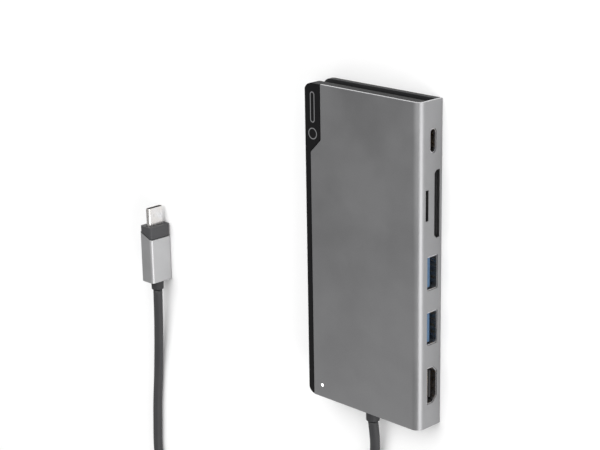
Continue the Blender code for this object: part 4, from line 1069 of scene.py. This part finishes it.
# %% Sleeve
def slanted_tool(name, start, far):
    """All beyond a slanted plane, which starts further back at +X than at -X."""
    half = plug_size[0]
    corners = [
        (plug_middle[0] + half, start - SLANT),
        (plug_middle[0] + half, far),
        (plug_middle[0] - half, far),
        (plug_middle[0] - half, start + SLANT),
    ]
    low, high = plug_middle[1] - plug_size[1], plug_middle[1] + plug_size[1]
    return solid_mesh(name, [corners], low, high, "Z")


rear, front = sleeve_low.y, sleeve_high.y
blank = solid_mesh("plug_sleeve_shell", [plug_outline(0)], rear, front + BEYOND, "Y")
room = [plug_outline(-SLEEVE_WALL)]
room = solid_mesh("sleeve_room", room, rear + SLEEVE_WALL, front + 2 * BEYOND, "Y")
throat = [arc(plug_middle, THROAT_RADIUS, 0, 360)[:-1]]
throat = solid_mesh("sleeve_throat", throat, rear - BEYOND, rear + 2 * SLEEVE_WALL, "Y")
slant = slanted_tool("sleeve_front", front - SLANT / 2, front + 3 * BEYOND)
sleeve_mesh = carve(blank, [room, throat, slant], SLEEVE_CHAMFER, cut_edge)
sleeve_mesh.materials[0] = plug_aluminium.material
sleeve = new_piece("plug_sleeve_shell", sleeve_mesh)
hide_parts("plug_sleeve")
print("sleeve:", len(sleeve_mesh.polygons), "faces")

# %% Tip
TIP_SHEET, TIP_EDGE = 0.3 * MM, 0.07 * MM
DIMPLE, DIMPLE_CORNER, DIMPLE_DEPTH = (1.5 * MM, 0.9 * MM), 0.2 * MM, 0.08 * MM
DIMPLE_BACK, DIMPLE_ASIDE = 3.2 * MM, 1.9 * MM
tip_low, tip_high = corners_of("plug_tip_shell")
tip_size = (tip_high.x - tip_low.x, tip_high.z - tip_low.z)
room_size = (tip_size[0] - 2 * TIP_SHEET, tip_size[1] - 2 * TIP_SHEET)
tip_outlines = [round_ended(plug_middle, tip_size), round_ended(plug_middle, room_size)]
tip_mesh = solid_mesh("plug_tip_skin", tip_outlines, tip_low.y, tip_high.y, "Y")
marks = []
for aside in (-DIMPLE_ASIDE, DIMPLE_ASIDE):
    dimple = [rounded((tip_high.y - DIMPLE_BACK, plug_middle[1] + aside), DIMPLE, DIMPLE_CORNER)]
    marks.append(solid_mesh("dimple", dimple, tip_high.x - DIMPLE_DEPTH, tip_high.x + BEYOND, "X"))
    marks.append(solid_mesh("dimple_far", dimple, tip_low.x - BEYOND, tip_low.x + DIMPLE_DEPTH, "X"))
tip_mesh = carve(tip_mesh, marks, TIP_EDGE)
tip = new_piece("plug_tip_skin", tip_mesh, plug_steel)
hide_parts("plug_tip_shell")
print("tip:", len(tip_mesh.polygons), "faces")

# %% [markdown]
# The cable bends when the dock is used. Here it is one fixed tube, along the route and with the
# thickness that the cable's cell gives.

# %% [markdown]
# ## Finishes of the imported pieces
#
# The other imported pieces have the right shape already, so they keep their mesh and take a finish by
# name. The status light shines white: its pipe has a clear body and an end that gives off light.

# %% Light pipe
light_pipe = Finish("light_pipe_glow", (0.95, 0.95, 0.95), 0.3, Coat_Weight=0.5)
GLOW_LOW, GLOW_FULL = HEIGHT - 0.2 * MM, HEIGHT - 0.1 * MM
glow_z = light_pipe.range(light_pipe.axis("Z"), GLOW_LOW, GLOW_FULL, 0.0, 1.0)
frost = light_pipe.noise(light_pipe.place(), 2500.0, 2.0)
light_pipe.surface(Emission_Color=light_pipe.mix(glow_z, (0.0, 0.0, 0.0), (1.0, 1.0, 1.0)))
light_pipe.surface(Emission_Strength=1.2, Roughness=light_pipe.range(frost, 0.3, 0.7, 0.22, 0.4))
light_pipe.bump(frost, 0.000006, 0.5)
print("light pipe glows from", round(GLOW_LOW / MM, 1), "mm up")

# %% Finish by name
FINISHES = {
    "anodised_aluminium": aluminium,
    "black_plastic": cover_plastic,
    "plated_steel": steel,
    "blue_insulator": blue_nylon,
    "black_insulator": black_nylon,
    "circuit_board": board,
    "chip_resin": chip_resin,
    "clear_light_pipe": light_pipe,
    "white_nylon": natural_nylon,
    "black_rubber": rubber,
    "nose_plastic": nose_plastic,
}
OWN_FINISHES = {"side_frame": frame_plastic, "sd_tray": grey_nylon}
for name, obj in NODES.items():
    for slot in obj.material_slots:
        look = slot.material.name.split(".")[0]
        finish = OWN_FINISHES.get(name, FINISHES[look])
        slot.material = finish.material
print("finishes given to", len(NODES), "packed pieces")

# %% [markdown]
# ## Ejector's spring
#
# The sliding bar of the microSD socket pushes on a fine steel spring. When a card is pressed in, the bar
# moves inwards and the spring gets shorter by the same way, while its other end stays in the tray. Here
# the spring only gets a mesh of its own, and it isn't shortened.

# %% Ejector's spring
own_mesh(NODES["ejector_spring"])

# %% [markdown]
# ## Desk and light
#
# The desk is white and evenly lit, as for a product picture. A large lamp above the far end lights the
# desk and the plate. A low one on the port side makes the wall and the rounded edge brighter than the
# plate, and a weak one on the cable's side lifts the strip. Large lamps give the metal soft edges.

# %% Desk
DESK_HALF, DESK_Z = 4.0, -0.02 * MM
desk_mesh = bpy.data.meshes.new("desk")
desk_corners = [(x * DESK_HALF, y * DESK_HALF, DESK_Z) for x, y in ((-1, -1), (1, -1), (1, 1), (-1, 1))]
desk_mesh.from_pydata(desk_corners, [], [(0, 1, 2, 3)])
desk_finish = Finish("pale_desk", (0.97, 0.97, 0.97), 0.7, Specular_IOR_Level=0.2)
desk_mesh.materials.append(desk_finish.material)
desk = add_object("desk", desk_mesh)
print("desk:", 2 * DESK_HALF, "m wide")

# %% Lights
world = bpy.data.worlds.new("studio")
bpy.context.scene.world = world
world.use_nodes = True
sky = world.node_tree.nodes["Background"]
sky.inputs["Color"].default_value = (1.0, 1.0, 1.0, 1.0)
sky.inputs["Strength"].default_value = 0.35


def soft_light(name, place, size, power):
    """A flat lamp turned towards the dock."""
    data = bpy.data.lights.new(name, "AREA")
    data.shape = "RECTANGLE"
    data.size, data.size_y = size
    data.energy = power
    lamp = add_object(name, data)
    turn = (-Vector(place)).to_track_quat("-Z", "Y")
    lamp.matrix_world = Matrix.Translation(place) @ turn.to_matrix().to_4x4()


soft_light("overhead", (0.3, 1.0, 1.6), (2.6, 2.6), 46)
soft_light("port_side", (1.25, -0.40, 0.40), (0.8, 0.9), 9)
soft_light("cable_side", (-0.75, -0.75, 0.75), (0.6, 0.6), 0.8)
print("world and three lamps")
